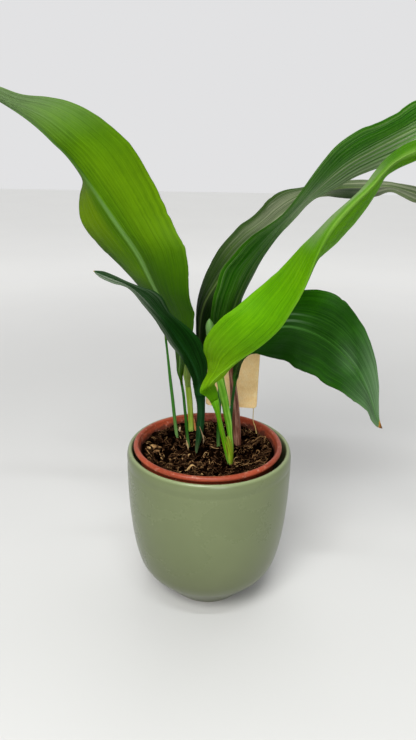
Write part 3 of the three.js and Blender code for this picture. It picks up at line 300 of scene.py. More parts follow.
# ------------------------------------------------------------------ leaf rows
# each row: left edge, middle, right edge (x, y, z in mm)
LEAF_ROWS = {
    "left_leaf": (
        [
        (-17.1, 10.9, 110.2, -15.8, 11, 110.3, -14.5, 11.1, 110.4),
        (-18.8, 12.4, 124, -17.4, 12.5, 124.1, -16.1, 12.6, 124.2),
        (-19.8, 12.6, 135.1, -18.5, 12.7, 135.2, -17.3, 12.8, 135.4),
        (-20.9, 12.8, 147, -19.6, 12.9, 147.1, -18.4, 13, 147.2),
        (-22, 12.9, 159.7, -20.8, 13, 159.8, -19.6, 13.1, 159.9),
        (-23.1, 12.9, 172.1, -21.9, 13, 172.2, -20.8, 13.1, 172.4),
        (-24.9, 12.9, 183.4, -23.7, 13, 183.6, -22.6, 13.1, 183.8)],
        [
        (-24.9, 13.1, 183.6, -23.7, 13.2, 183.6, -22.5, 13.2, 183.6),
        (-27.3, 18.1, 191.7, -24.5, 13.4, 192.6, -21.8, 8.7, 195),
        (-28.8, 26.5, 198.5, -24.4, 13.5, 201.6, -19.5, -0.7, 205.4),
        (-30.3, 30.4, 206.7, -24.5, 13.3, 210.4, -17.1, -5.2, 214),
        (-33.7, 33.2, 215.1, -26.2, 12.7, 219.2, -15.1, -8.4, 223.2),
        (-37.9, 35.1, 223.7, -28.9, 11.9, 227.8, -13.5, -10.8, 232.1),
        (-42.5, 36.4, 232.7, -32.1, 11, 236.1, -12.5, -12.7, 240),
        (-47.8, 36.9, 241.5, -35.7, 9.8, 244.2, -12.2, -14.5, 247.5),
        (-53.8, 36.3, 249.7, -39.2, 8.3, 252.3, -14.3, -16.4, 254.8),
        (-59.6, 35, 257.3, -42.8, 6.6, 260.3, -16, -17.7, 262.5),
        (-64.9, 33, 264.4, -46.5, 4.8, 268.3, -16.4, -17.8, 271.4),
        (-70.8, 30.1, 271.7, -49.9, 2.7, 276.3, -16.8, -17.4, 279.9),
        (-77.4, 26.2, 279.4, -53.3, 0.4, 284.2, -17.7, -16.6, 287.8),
        (-83.8, 22.3, 287.2, -57.4, -1.8, 291.8, -20.2, -14.8, 295.9),
        (-90.1, 18.7, 295.2, -62, -3.9, 299.2, -23.7, -12.1, 302.7),
        (-95.7, 15.8, 303.2, -66.8, -6.1, 306.5, -27.1, -9.2, 308.7),
        (-98.8, 14.4, 311.4, -71.5, -8.3, 313.8, -30.6, -7.3, 316.9),
        (-99.3, 14.2, 319.2, -76.2, -10.6, 321.1, -34.7, -7.5, 325.4),
        (-98.1, 14.2, 327.6, -80.9, -13, 328.3, -39.3, -9, 334.1),
        (-95, 13.6, 336.9, -85.6, -15.4, 335.5, -44, -11, 343.1),
        (-93.3, 11, 346.1, -90.4, -18.1, 342.6, -48.4, -13.2, 351.9),
        (-95.4, 6.4, 357.1, -95.4, -20.9, 349.5, -53.6, -15.7, 360.2),
        (-99.4, 0.7, 365.9, -100.6, -23.9, 356.1, -60.9, -18.5, 368.5),
        (-105.1, -5.3, 373.5, -106.5, -26.9, 362.1, -70.2, -21.6, 376.1),
        (-111, -11, 379.8, -112.2, -29.8, 368.4, -80.5, -24.7, 383),
        (-116.7, -16, 384.6, -118.4, -32.3, 374.3, -92.8, -28.1, 388),
        (-123.6, -20.9, 388.3, -125.1, -34.8, 379.7, -106.1, -32.3, 390.3),
        (-131.1, -26.3, 391.6, -132.2, -37.4, 384.6, -119.7, -37.2, 390.9),
        (-138.6, -31.9, 394.3, -139.4, -40.1, 389.1, -131.1, -41.1, 394.2),
        (-146, -39.1, 395.8, -147, -42.6, 393.2, -141.8, -42.7, 397.5),
        (-150.1, -42.3, 396.5, -150.8, -43.7, 395.1, -148, -43.3, 397.8),
        (-154.8, -44.4, 397.3, -154.8, -44.4, 397.3, -154.8, -44.4, 397.3)],
    ),
    "front_left_leaf": (
        [
        (-10.6, 1.6, 110.2, -9.5, 1.6, 110.1, -8.4, 1.5, 110),
        (-11.6, 2, 124.1, -10.5, 2, 124.1, -9.5, 2, 124),
        (-11.5, 1.1, 130.3, -10.1, 1, 130.1, -8.6, 0.9, 129.9),
        (-11.1, -0.9, 139.7, -8.6, -1, 139.4, -6.1, -1.1, 139),
        (-10.8, -2.9, 149.6, -7.7, -3, 149.3, -4.6, -3.1, 149.1),
        (-10.2, -6, 162.2, -7, -6, 162.1, -3.9, -6, 162.1),
        (-10.5, -10.1, 174, -7.1, -10, 174.2, -3.7, -9.9, 174.4),
        (-12.4, -14.3, 184.5, -8.2, -14, 185.1, -4, -13.7, 185.6)],
        [
        (-12.3, -14.4, 185.1, -8.2, -14.3, 185.2, -3.7, -14.2, 185.2),
        (-12.7, -18.7, 191.4, -8.9, -15.3, 190.8, -3.7, -12.5, 191),
        (-13.7, -24.9, 198.7, -9.9, -16.6, 196.3, -3.4, -9.9, 195.7),
        (-15.7, -29, 205.5, -11.5, -18, 201.8, -2.4, -9.4, 200.7),
        (-17.7, -32.8, 211.7, -13.4, -19.5, 207.1, -2.1, -9.9, 205.4),
        (-19.7, -36.5, 217, -15.4, -21.2, 212.3, -2.8, -10.8, 209.6),
        (-21.7, -40, 221.9, -17.7, -23.1, 217.4, -3.9, -12.1, 214),
        (-24.1, -43.3, 226.5, -20.1, -25.1, 222.3, -5.1, -13.5, 219),
        (-26.7, -46.4, 230.9, -22.6, -27.2, 227.2, -6.8, -15.1, 224.1),
        (-29.3, -49.1, 236, -25.1, -29.3, 232, -8.9, -16.7, 228.6),
        (-31.9, -51.4, 241.6, -27.7, -31.6, 236.8, -12, -18.2, 232.7),
        (-34.4, -53.8, 246.7, -30.3, -34, 241.4, -15.6, -19.7, 236.8),
        (-36.7, -56.2, 251.4, -32.9, -36.7, 245.9, -19.9, -21.4, 241),
        (-39.1, -58.6, 255.7, -35.5, -39.5, 250.3, -24.4, -23.7, 245.1),
        (-41.4, -60.9, 259.6, -38.2, -42.3, 254.6, -28.5, -26.6, 249.3),
        (-43.9, -62.9, 263.7, -41, -45.1, 258.9, -31.3, -29.9, 255.2),
        (-46.5, -64.7, 267.7, -43.9, -47.9, 263.2, -33.6, -33.7, 261.7),
        (-49, -66.3, 271.5, -47, -50.7, 267.3, -36.4, -38.2, 266.6),
        (-51.4, -67.9, 274.6, -50.3, -53.6, 271.2, -39.8, -43, 270.2),
        (-54, -69.4, 277.2, -53.8, -56.7, 274.7, -44.1, -47.9, 272.6),
        (-57.2, -70.8, 278.9, -57.6, -59.8, 277.8, -49.1, -52.6, 275.5),
        (-61.2, -72, 280.1, -61.6, -63, 280.6, -54.8, -57, 278.9),
        (-65.3, -72.5, 281.8, -65.9, -66, 283.2, -61.4, -61.3, 283.2),
        (-69.5, -72.2, 283.9, -70.2, -69, 285.8, -67.6, -66.3, 286.9),
        (-72.5, -71.4, 286, -72.8, -70.5, 287.3, -71.5, -69.7, 288),
        (-74.6, -71.3, 288.3, -74.6, -71.3, 288.3, -74.6, -71.3, 288.3)],
    ),
    "rear_right_leaf": (
        [
        (-9, 35.8, 109.4, -7.5, 35.8, 109.4, -6, 35.8, 109.4),
        (-9.4, 38, 123.2, -7.9, 38, 123.2, -6.4, 38, 123.2),
        (-9.3, 38.5, 139.5, -7.8, 38.5, 139.5, -6.3, 38.5, 139.5),
        (-9, 39, 156.4, -7.5, 39, 156.4, -6, 39, 156.4),
        (-8.5, 39, 175, -7, 39, 175, -5.6, 39, 175),
        (-8.4, 39, 191.4, -6.9, 39, 191.4, -5.5, 39, 191.4)],
        [
        (-8.4, 39.2, 191.3, -7, 39.3, 191.3, -5.5, 39.3, 191.3),
        (-11.2, 44.1, 199.6, -8.3, 39.9, 201, -4.9, 36.1, 202.3),
        (-12.9, 52.9, 207.6, -9.5, 40.8, 210.6, -2.7, 30.4, 213.3),
        (-13.5, 58.3, 217.1, -9.7, 42.2, 220.3, 0.4, 28.6, 222.5),
        (-13.7, 63.5, 226.8, -8.9, 44.1, 229.8, 4, 28.1, 231.3),
        (-13, 68.3, 236.3, -6.6, 46.4, 239, 8.5, 28.4, 240.5),
        (-11.1, 72.6, 245.2, -2.4, 48.9, 247.4, 13.7, 29, 250),
        (-8, 76.6, 254.1, 2.8, 51.4, 255.3, 19.3, 29.3, 258.1),
        (-4.1, 80.1, 262.8, 8.1, 53.7, 263.2, 24.3, 29.5, 266.3),
        (0.7, 83, 272.2, 13.8, 55.6, 270.8, 28.8, 29.3, 274),
        (6.7, 85.4, 282.5, 20.1, 57, 278.2, 33.3, 28.7, 281.4),
        (14.7, 87.1, 292.2, 26.8, 57.9, 285.2, 37.8, 28.1, 288.9),
        (24.2, 88.3, 300.8, 34.1, 58.6, 291.6, 42.7, 27.6, 295.1),
        (32.9, 88.4, 307.4, 41.9, 58.9, 297.5, 48.4, 27, 300.9),
        (39.8, 87.6, 314.7, 49.6, 58.6, 303.4, 53.9, 26.3, 306.4),
        (46.1, 86.3, 322.5, 57.2, 57.9, 309.6, 58.9, 25.7, 312.1),
        (53.2, 85, 327.2, 64.7, 56.9, 315.7, 64.5, 25.2, 318.6),
        (62, 83.7, 330.4, 72.5, 55.5, 321.4, 71.2, 24.6, 324.4),
        (72.7, 82, 332.5, 80.7, 53.7, 326.3, 78.1, 23.9, 328.6),
        (84.2, 79.5, 334.9, 89.3, 51.6, 330.4, 84.5, 23.2, 329.6),
        (96, 76.1, 337, 98.3, 49.1, 333.2, 91.6, 22.6, 329.2),
        (108.3, 71.9, 338.3, 107.6, 46.5, 334.4, 100.9, 21.8, 328.6),
        (119.6, 67.2, 339.6, 117, 43.7, 334.8, 111.5, 20.7, 328.7),
        (129.8, 62.2, 339.3, 126.3, 40.7, 335.4, 121.4, 19.6, 330.4),
        (139.8, 57, 339.2, 135.6, 38, 335.8, 130.6, 19.2, 333.3),
        (150, 52, 337.7, 144.9, 35.9, 334.1, 139.7, 19.7, 330.9),
        (158.7, 47.3, 336.7, 154.2, 33.9, 331.7, 149, 20.6, 327.2),
        (168.1, 42.1, 333.7, 163.2, 32.1, 328.6, 158.3, 22, 323.9),
        (176.1, 37.1, 328.9, 172, 30.3, 324.7, 167.9, 23.3, 320.6),
        (182.7, 31.1, 322.6, 180.3, 28.6, 319.9, 178, 26, 317.3),
        (185.5, 28.7, 318.7, 184.3, 27.9, 317.2, 183.2, 27.1, 315.7),
        (188.3, 27.4, 314.2, 188.3, 27.4, 314.2, 188.3, 27.4, 314.2)],
    ),
    "tall_right_leaf": (
        [
        (5.3, 6, 110.2, 6.8, 6, 110.2, 8.3, 6, 110.3),
        (6.3, 7, 124.1, 7.8, 7, 124.2, 9.3, 7, 124.2),
        (6, 7, 135.7, 7.5, 7, 135.8, 9.1, 7, 135.8),
        (6, 6.5, 148.8, 7.6, 6.5, 148.8, 9.2, 6.5, 148.8),
        (6.2, 6, 163.3, 7.7, 6, 163.3, 9.2, 6, 163.3),
        (6, 5.5, 177.6, 7.4, 5.5, 177.6, 8.8, 5.5, 177.5),
        (6.9, 5, 198.3, 8.3, 5, 198.3, 9.6, 5, 198.2)],
        [
        (6.9, 4.8, 198.3, 8.3, 4.8, 198.4, 9.6, 4.8, 198.4),
        (5.6, 1, 208.7, 9.4, 4.3, 207.7, 12.4, 8.1, 206.5),
        (3.1, -5, 220, 10.7, 3.6, 217.1, 15.1, 14.6, 213.8),
        (0.3, -7.5, 230.1, 12.4, 3, 226.5, 17.6, 17.5, 222.4),
        (-0.7, -9.6, 239.8, 14.2, 2.3, 235.9, 20, 20.1, 231.4),
        (-0.6, -11.8, 248.4, 16.5, 1.7, 245.1, 22, 22.2, 240.7),
        (0.7, -13.9, 256.3, 19.3, 1, 254.2, 23.8, 24.1, 250.1),
        (2.2, -15.4, 265.5, 22.5, 0.3, 263.1, 27.2, 25.3, 259.1),
        (4.1, -16.9, 274.1, 26.3, -0.4, 271.8, 31.2, 26.2, 268.1),
        (7.1, -19, 281.7, 30.5, -1.2, 280.3, 35.5, 26.8, 277.3),
        (12.7, -21.8, 289.1, 35.3, -2, 288.6, 40.4, 27, 286.8),
        (20, -24.8, 298.4, 40.6, -2.8, 296.4, 45.5, 27, 295.1),
        (27.7, -28.2, 306, 45.6, -3.6, 304.5, 50.8, 26.3, 301.8),
        (36.6, -31.4, 312.6, 50.5, -4.6, 312.6, 56.4, 25.2, 307.6),
        (45.7, -33.9, 320.1, 56, -5.6, 320.4, 62.6, 24, 315),
        (53.4, -35.1, 329.3, 62.3, -6.6, 327.4, 69.3, 22.6, 323.3),
        (59.5, -35.3, 338.6, 69, -7.7, 334.1, 75.9, 20.8, 329),
        (65, -34.6, 347.1, 76, -8.6, 340.5, 82.9, 18.6, 332.7),
        (70.5, -33.4, 355.5, 83.1, -9.5, 346.8, 89.9, 16.1, 336.6),
        (76.8, -31.8, 362.6, 90.6, -10.4, 352.6, 97.1, 13.6, 341.5),
        (84.5, -30.4, 368.5, 98.6, -11.2, 357.7, 105.1, 10.7, 346.2),
        (93.1, -29.1, 373.9, 106.9, -12, 362.4, 113.7, 7.2, 349.8),
        (102.4, -27.9, 377.7, 115.1, -12.7, 367.2, 122.1, 2.8, 352.9),
        (111.7, -26.3, 382.2, 123.4, -13.5, 371.8, 129.9, -2.4, 355.9),
        (121.2, -24, 387.8, 131.8, -14.3, 376.1, 137.5, -8, 359.4),
        (131.4, -21.5, 393, 140.4, -15, 380.2, 145.4, -12.9, 363.6),
        (142.7, -19.4, 395.8, 149.3, -15.8, 383.6, 153.5, -15.8, 368.5),
        (153.8, -18, 396.9, 158.4, -16.6, 386.1, 161.8, -17.2, 373.3),
        (164.7, -17.6, 396.7, 167.8, -17.3, 387.6, 170.3, -17.8, 377.8),
        (175.7, -18.1, 394, 177.3, -18.1, 388.1, 178.8, -18.4, 382.2),
        (181.2, -18.4, 391.3, 182, -18.5, 388, 182.8, -18.6, 384.8),
        (186.9, -18.7, 387.6, 186.9, -18.7, 387.6, 186.9, -18.7, 387.6)],
    ),
    "front_leaf": (
        [
        (13.5, -18.6, 109.9, 15.3, -18.4, 110.2, 17.1, -18.3, 110.6),
        (15.1, -20.1, 123.7, 16.8, -20, 124.1, 18.6, -19.9, 124.5),
        (12.6, -21.2, 134.4, 14.5, -21, 134.8, 16.5, -20.8, 135.2),
        (9.5, -23.2, 148.4, 11.4, -23, 148.8, 13.3, -22.8, 149.3),
        (7.1, -25.2, 159.6, 9, -25, 160, 10.8, -24.8, 160.4),
        (4.7, -28.2, 171.7, 6.5, -28, 172.2, 8.3, -27.8, 172.7),
        (2, -31.2, 180.4, 4.5, -31.4, 181.8, 7.1, -31, 183),
        (-1, -33.4, 186.9, 2.3, -33.8, 189.7, 5.7, -33, 191.8)],
        [
        (-1, -33.4, 186.9, 2.3, -33.8, 189.7, 5.7, -33, 191.8),
        (-4.5, -35, 190.8, -0.1, -36, 194.3, 4.5, -34.4, 196.8),
        (-7.3, -36.4, 193.2, -2.2, -38.6, 197.5, 3.4, -36, 199.9),
        (-7.5, -36.6, 195.2, -1.2, -41.4, 200.5, 3.8, -36.4, 201.9),
        (-6.1, -34.5, 199.3, 1.6, -44.6, 205.4, 6.2, -35.2, 203.2),
        (-2.1, -31.8, 206.9, 5.6, -47.5, 210.9, 9.1, -33.4, 204.8),
        (-1.9, -34.5, 213.7, 9.5, -50.2, 215.1, 11.4, -34, 208.7),
        (-2.9, -38.7, 221.3, 13.4, -53, 219.1, 13.3, -34.6, 213.9),
        (-4.7, -44.8, 228.2, 17.3, -55.7, 223.3, 15.5, -35.6, 218.9),
        (-5.1, -50.9, 234.9, 21.4, -58.4, 227.2, 18.2, -36.9, 224),
        (-3.9, -56, 241.3, 25.6, -61.3, 230.9, 21.6, -38.5, 229.2),
        (-1.5, -59.9, 246.8, 29.8, -64.1, 234.6, 25, -40.5, 233.8),
        (1.6, -62.8, 251.8, 33.8, -67, 238.6, 28.4, -42.6, 238.7),
        (5.4, -64.9, 256.4, 37.5, -69.7, 242.9, 32, -44.7, 243.9),
        (9.7, -66.2, 260.5, 41, -72.4, 247.4, 35.8, -46.8, 249.4),
        (14, -66.3, 264, 44.2, -75, 252.1, 39.4, -49, 255),
        (18.3, -65.2, 267.3, 46.9, -77.5, 257.2, 42.6, -51.3, 260.6),
        (22.5, -63.6, 270.8, 49.1, -80, 262.6, 45.3, -53.6, 266.1),
        (27, -62.2, 274.4, 51.2, -82.5, 268, 48, -56, 271.5),
        (31.6, -61.7, 278.4, 53.3, -85, 273.4, 50.7, -58.5, 276.7),
        (36, -62, 282.6, 55, -87.6, 278.9, 53.5, -61.3, 282.1),
        (40.3, -63.1, 286.9, 56.4, -90.3, 284.4, 56.1, -64.2, 287.2),
        (44.3, -64.8, 291.4, 57.5, -93, 290, 58.4, -67.3, 292),
        (47.8, -67.1, 296.2, 58.5, -95.7, 295.6, 60.3, -70.6, 296.6),
        (51.1, -69.8, 301.1, 59.5, -98.4, 301.2, 62.6, -74.4, 299.6),
        (54.3, -72.9, 305.8, 60.7, -101.2, 306.7, 65.6, -78.6, 302),
        (57.4, -76.4, 310, 62.1, -104, 312.2, 69.2, -83, 305.9),
        (60.7, -80.2, 314.5, 63.8, -106.8, 317.6, 72.8, -87.5, 310.9),
        (64.3, -84.1, 319.6, 66.1, -109.7, 322.7, 76.1, -91.8, 316.5),
        (68.1, -88.3, 325, 68.9, -112.6, 327.5, 79.2, -96, 321.8),
        (71.8, -92.7, 329.8, 71.9, -115.7, 332.1, 81.8, -100, 327.1),
        (75.3, -97.4, 334.3, 75.2, -118.8, 336.5, 84.1, -104, 332.3),
        (78.6, -102.4, 338.9, 78.5, -122.2, 340.7, 86.1, -108.1, 337.6),
        (81.3, -107.5, 343.8, 81.5, -125.6, 345, 87.6, -112.5, 342.9),
        (83.4, -113, 349.4, 84, -129.2, 349.6, 88.5, -117.2, 348),
        (85.9, -118.9, 355.2, 86.8, -132.9, 353.8, 90.9, -122.7, 351.1),
        (89.4, -125.2, 360, 90.3, -136.7, 357.2, 94.3, -128.6, 353.7),
        (93.7, -131.7, 364.1, 94.5, -140.6, 360, 97.9, -134.7, 356),
        (98.4, -138.2, 366.5, 98.9, -144.4, 362.3, 101.5, -140.6, 358.2),
        (102.9, -145.9, 367.2, 103.7, -147.9, 364, 105, -147, 360.7),
        (109.1, -150.5, 365.1, 109.1, -150.5, 365.1, 109.1, -150.5, 365.1)],
    ),
    "drooping_leaf": (
        [
        (14.8, 14.5, 110.2, 16.1, 14.5, 110.2, 17.4, 14.4, 110.2),
        (16.5, 16, 124, 17.7, 16, 124, 19, 16, 124),
        (16.4, 15, 135.8, 17.6, 15, 135.8, 18.9, 15, 135.8),
        (16.4, 14.1, 149.2, 17.7, 14, 149.2, 18.9, 13.9, 149.2),
        (16.7, 13.1, 160.6, 18, 13, 160.5, 19.2, 12.9, 160.4),
        (17.6, 11.6, 172, 18.8, 11.5, 171.8, 20, 11.4, 171.7),
        (18.6, 10.1, 184, 19.8, 10, 183.8, 21.1, 9.9, 183.7)],
        [
        (18.7, 9.9, 183.8, 19.8, 9.9, 183.9, 21.2, 9.9, 183.9),
        (18.4, 14, 188, 20.4, 9.7, 189.9, 22.2, 5.7, 191.5),
        (18.6, 21.8, 191.8, 21.3, 9.4, 195.8, 23.1, -1.9, 199.8),
        (19.2, 25.7, 197.8, 22.8, 9.1, 201.8, 24.3, -6, 206.4),
        (20.3, 28.7, 203.9, 24.7, 8.6, 207.4, 26.3, -9.7, 211.6),
        (22.3, 30.7, 209.7, 27.2, 7.7, 212.9, 29.4, -13.2, 215.8),
        (24.9, 31.9, 215.8, 30.3, 6.5, 218, 32.9, -16.6, 217.7),
        (28, 32.6, 222.1, 33.9, 5.1, 222.6, 36.7, -19.5, 217.6),
        (31.8, 32.6, 228.1, 38.2, 3.5, 226.6, 40.7, -21.6, 216.9),
        (36.2, 32, 233.7, 43, 2, 230, 44.8, -22.9, 215.8),
        (41.3, 30.8, 239.6, 48.2, 0.4, 232.6, 49.1, -23.5, 215),
        (47.2, 28.7, 245.7, 53.8, -1.1, 234.5, 53.4, -23.4, 214.4),
        (53.6, 25.4, 251.5, 59.5, -2.7, 235.3, 57.9, -22.6, 212.6),
        (60.6, 20.6, 256.8, 65.4, -4.4, 234.9, 62.4, -21.9, 209.1),
        (67.5, 14, 260.1, 71, -6.3, 234, 66.6, -21.8, 207.1),
        (74.2, 6.5, 262.6, 76.5, -8.5, 232.5, 70.3, -22.9, 206.2),
        (80.6, -0.1, 263.7, 81.7, -10.6, 230.4, 73.9, -24.4, 205),
        (87, -4.4, 263.4, 86.7, -12.8, 227.8, 77.8, -25.2, 203),
        (93, -7.2, 261.3, 91.5, -15, 224.7, 82.2, -26.1, 199.9),
        (98.7, -9.5, 257.3, 95.9, -17.2, 221.2, 86.7, -28.1, 197.3),
        (104.2, -12.2, 251.2, 100.1, -19.5, 217.5, 91.2, -31.3, 196.3),
        (108.8, -14.8, 244.8, 104, -21.8, 213.4, 95.5, -34.9, 195.1),
        (112.6, -17.1, 239, 107.6, -24, 209.1, 99.7, -38.2, 192.9),
        (115.9, -19.2, 232.6, 110.8, -26, 204.4, 103.6, -40.4, 190.9),
        (118.8, -21.2, 225.5, 113.6, -27.9, 199.4, 107.3, -42, 189),
        (121.4, -23.5, 217.8, 116.2, -29.8, 194.2, 111.1, -43.3, 186.8),
        (123.6, -26, 208.7, 118.4, -31.6, 188.9, 113.9, -43.5, 184.1),
        (125.1, -28.7, 198.1, 120.5, -33.2, 183.5, 116, -42.7, 180.9),
        (125.2, -31.2, 187.4, 122.4, -34.9, 178, 118.4, -41.8, 176.2),
        (125.4, -34.5, 176.9, 125, -36.9, 172.9, 122.9, -40.2, 170.8),
        (126.4, -36.5, 172.3, 126.6, -37.7, 170.5, 125.6, -39.1, 169.1),
        (128.5, -38.4, 168, 128.5, -38.4, 168, 128.5, -38.4, 168)],
    ),
    "rear_left_leaf": (
        [
        (-28.1, 25.8, 111.9, -26.7, 26, 112.1, -25.2, 26.1, 112.3),
        (-29.6, 27.4, 125.7, -28.2, 27.6, 125.9, -26.7, 27.8, 126.1),
        (-31.4, 29.6, 139, -30, 29.8, 139.2, -28.5, 30, 139.3),
        (-33.5, 32.8, 158.3, -32.1, 33, 158.4, -30.7, 33.2, 158.6),
        (-35.5, 35.4, 175.7, -34.2, 35.5, 175.8, -32.9, 35.6, 176),
        (-37.3, 37.9, 194.7, -36.2, 38, 194.8, -35.2, 38.1, 194.9),
        (-39.6, 39.9, 215.2, -38.6, 40, 215.3, -37.6, 40.1, 215.4)],
        [
        (-39.4, 40.4, 215.2, -38.6, 40.4, 215.2, -37.6, 40.5, 215.2),
        (-41.9, 48.6, 221, -39.3, 42.3, 222.6, -36.1, 36.2, 224.3),
        (-44.9, 56.7, 225.9, -40.4, 44.8, 229.8, -34.3, 33.5, 233.5),
        (-48.1, 62.2, 231.3, -41.8, 47.4, 236.9, -33, 33.6, 242.2),
        (-52, 66.9, 237.6, -43.5, 49.9, 243.9, -32.5, 34.3, 249.9),
        (-56.1, 70.6, 244.2, -45.5, 52.2, 251, -32.4, 35.3, 257.3),
        (-60.1, 73.3, 251.1, -47.7, 54.1, 258.1, -32.9, 36.4, 264.7),
        (-64.1, 75.2, 258, -50.1, 55.8, 265.2, -33.9, 37.9, 271.9),
        (-68.3, 76.4, 265.1, -52.6, 57.5, 272.3, -35.3, 39.8, 279.3),
        (-72.6, 77, 272.2, -55.3, 59.2, 279.3, -37.2, 42.2, 286.7),
        (-76.8, 77, 279.2, -58.3, 60.8, 286.2, -39.6, 44.9, 293.6),
        (-81, 76.6, 286, -61.7, 62.5, 292.9, -42.8, 48, 300.3),
        (-84.9, 76.1, 292.8, -65.3, 64.2, 299.4, -46.5, 51.4, 306.7),
        (-88.3, 75.6, 299.6, -69.1, 66, 305.9, -51, 55.1, 313.2),
        (-91.4, 75, 306.3, -73.2, 67.7, 312.2, -56.1, 58.9, 319.4),
        (-94.3, 74.1, 312.8, -77.5, 69.1, 318.3, -61.8, 62.8, 325.4),
        (-96.7, 72.7, 319.1, -82.1, 70.5, 324.3, -68.4, 67.2, 331.1),
        (-99.2, 71.3, 325.4, -86.9, 71.9, 330.2, -75.5, 71.6, 336.8),
        (-101.6, 71.7, 331.5, -91.8, 73.4, 335.9, -83.1, 74.6, 342.2),
        (-102.1, 74.3, 338.5, -96.9, 75.1, 341.4, -91.9, 75.9, 345.2),
        (-102.2, 76, 343.8, -100.4, 76.2, 344.9, -98.6, 76.5, 346.3),
        (-102.2, 76.6, 346.6, -102.2, 76.6, 346.6, -102.2, 76.6, 346.6)],
    ),
    "back_leaf": (
        [
        (-18, 36.1, 113.4, -15.6, 36.2, 113.5, -13.2, 36.3, 113.5),
        (-18.8, 38.2, 127.2, -16.4, 38.3, 127.3, -14, 38.4, 127.3),
        (-19.2, 40.4, 138.3, -16.8, 40.5, 138.4, -14.4, 40.6, 138.5),
        (-20.1, 42.2, 149.9, -17.5, 42.4, 150, -15, 42.6, 150.2),
        (-21.1, 43.4, 159.7, -18.5, 43.6, 160, -15.9, 43.8, 160.2),
        (-22.3, 43.8, 168.8, -19.7, 44, 169.2, -17.1, 44.2, 169.5)],
        [
        (-22.1, 44.3, 169, -19.7, 44.4, 169, -17.1, 44.5, 169),
        (-24.3, 53.8, 179.2, -21.2, 46.3, 180.1, -17.3, 38.8, 181.1),
        (-28.2, 63.1, 188.1, -22.5, 49.2, 191, -17.8, 34.9, 194.1),
        (-32.5, 69.9, 198.6, -23.9, 52.4, 201.8, -17.9, 34, 205.8),
        (-37, 75.7, 209.3, -25.6, 55.7, 212.5, -18, 34.4, 217.2),
        (-41.6, 80.7, 219.4, -27.9, 59.2, 223, -18.8, 35.9, 228.9),
        (-45.8, 85, 229, -30, 62.7, 233.6, -20.1, 37.7, 239.9),
        (-49.5, 88.6, 238.4, -32.1, 66.1, 244.2, -21.9, 39.7, 250.1),
        (-52.8, 91.9, 248.3, -34.5, 69.4, 254.8, -23.6, 42.6, 261.1),
        (-55.7, 94.8, 258.5, -37, 72.6, 265.3, -25.4, 46, 272.5),
        (-58.6, 97.2, 268.7, -39.7, 75.7, 275.9, -28, 49.5, 283.1),
        (-61.4, 99.3, 278.9, -42.6, 78.8, 286.4, -31.5, 53.2, 293.2),
        (-64, 101.4, 289.3, -46.1, 81.8, 296.7, -35.6, 57.2, 302.9),
        (-66.8, 103.1, 299.7, -50.2, 84.9, 306.8, -40.5, 61.7, 312.4),
        (-70, 104.2, 309.8, -54.5, 88, 316.9, -46, 66.6, 322.2),
        (-73.7, 104.6, 319.8, -59.2, 91, 326.7, -52.1, 71.8, 331.8),
        (-77.8, 104, 329.7, -64.6, 93.7, 336.3, -58.3, 77.2, 340.5),
        (-82.2, 102.2, 339.5, -70.5, 96.4, 345.6, -65, 83.2, 349),
        (-87.3, 100.3, 348.9, -76.8, 99.3, 354.6, -72.3, 89.8, 357.8),
        (-90.1, 101.9, 359.1, -83.7, 102.5, 362.9, -80.8, 97, 365),
        (-91, 104.2, 366.6, -88.6, 104.5, 368.1, -87.7, 103.6, 368.9),
        (-91.1, 105.3, 370.6, -91.1, 105.3, 370.6, -91.1, 105.3, 370.6)],
    ),
}
YOUNG_SHOOT = [
    (16.1, -15.4, 114.7, 17.7, -15.6, 114.8, 19.1, -15.4, 114.8),
    (15.6, -15.8, 125.8, 17.5, -16.2, 126.1, 19.3, -15.8, 125.9),
    (15.2, -16.4, 134.6, 17.4, -16.6, 134.8, 19.2, -16.4, 134.7),
    (15.1, -16.4, 143, 17.1, -16.4, 143.1, 18.6, -16.4, 143.1),
    (13.8, -15.6, 151, 16, -15.2, 150.8, 17.9, -15.6, 151.1),
    (12.4, -14.6, 158.8, 15.1, -13.2, 158.2, 17.4, -14.6, 158.9),
    (10.7, -13.9, 166.7, 13.5, -12.2, 166, 16.3, -13.8, 166.7),
    (9.2, -13.4, 174.6, 12.1, -11.6, 173.9, 15, -12.8, 174.4),
    (7.6, -13.1, 182.6, 10.3, -11.2, 181.8, 13.9, -11.5, 182),
    (6.2, -13.1, 190.5, 8.7, -11, 189.8, 12, -11.4, 190),
    (4.1, -12.9, 198.3, 6.9, -11.2, 197.7, 10.4, -11.4, 197.9),
    (1.9, -12.6, 205.9, 5.1, -11.6, 205.6, 8.8, -11.7, 205.7),
    (0.1, -12.7, 213.7, 3.5, -12.2, 213.6, 7.3, -12.2, 213.7),
    (-1.6, -13, 221.5, 1.9, -12.9, 221.5, 5.7, -12.9, 221.6),
    (-3.1, -13.7, 229.5, 0.5, -13.6, 229.5, 4.1, -13.7, 229.6),
    (-4, -15.2, 238.2, -0.8, -14, 237.5, 2.4, -15.3, 238),
    (-2.6, -15.1, 244, -1.4, -14.3, 243.6, -0.2, -15.1, 243.8)]
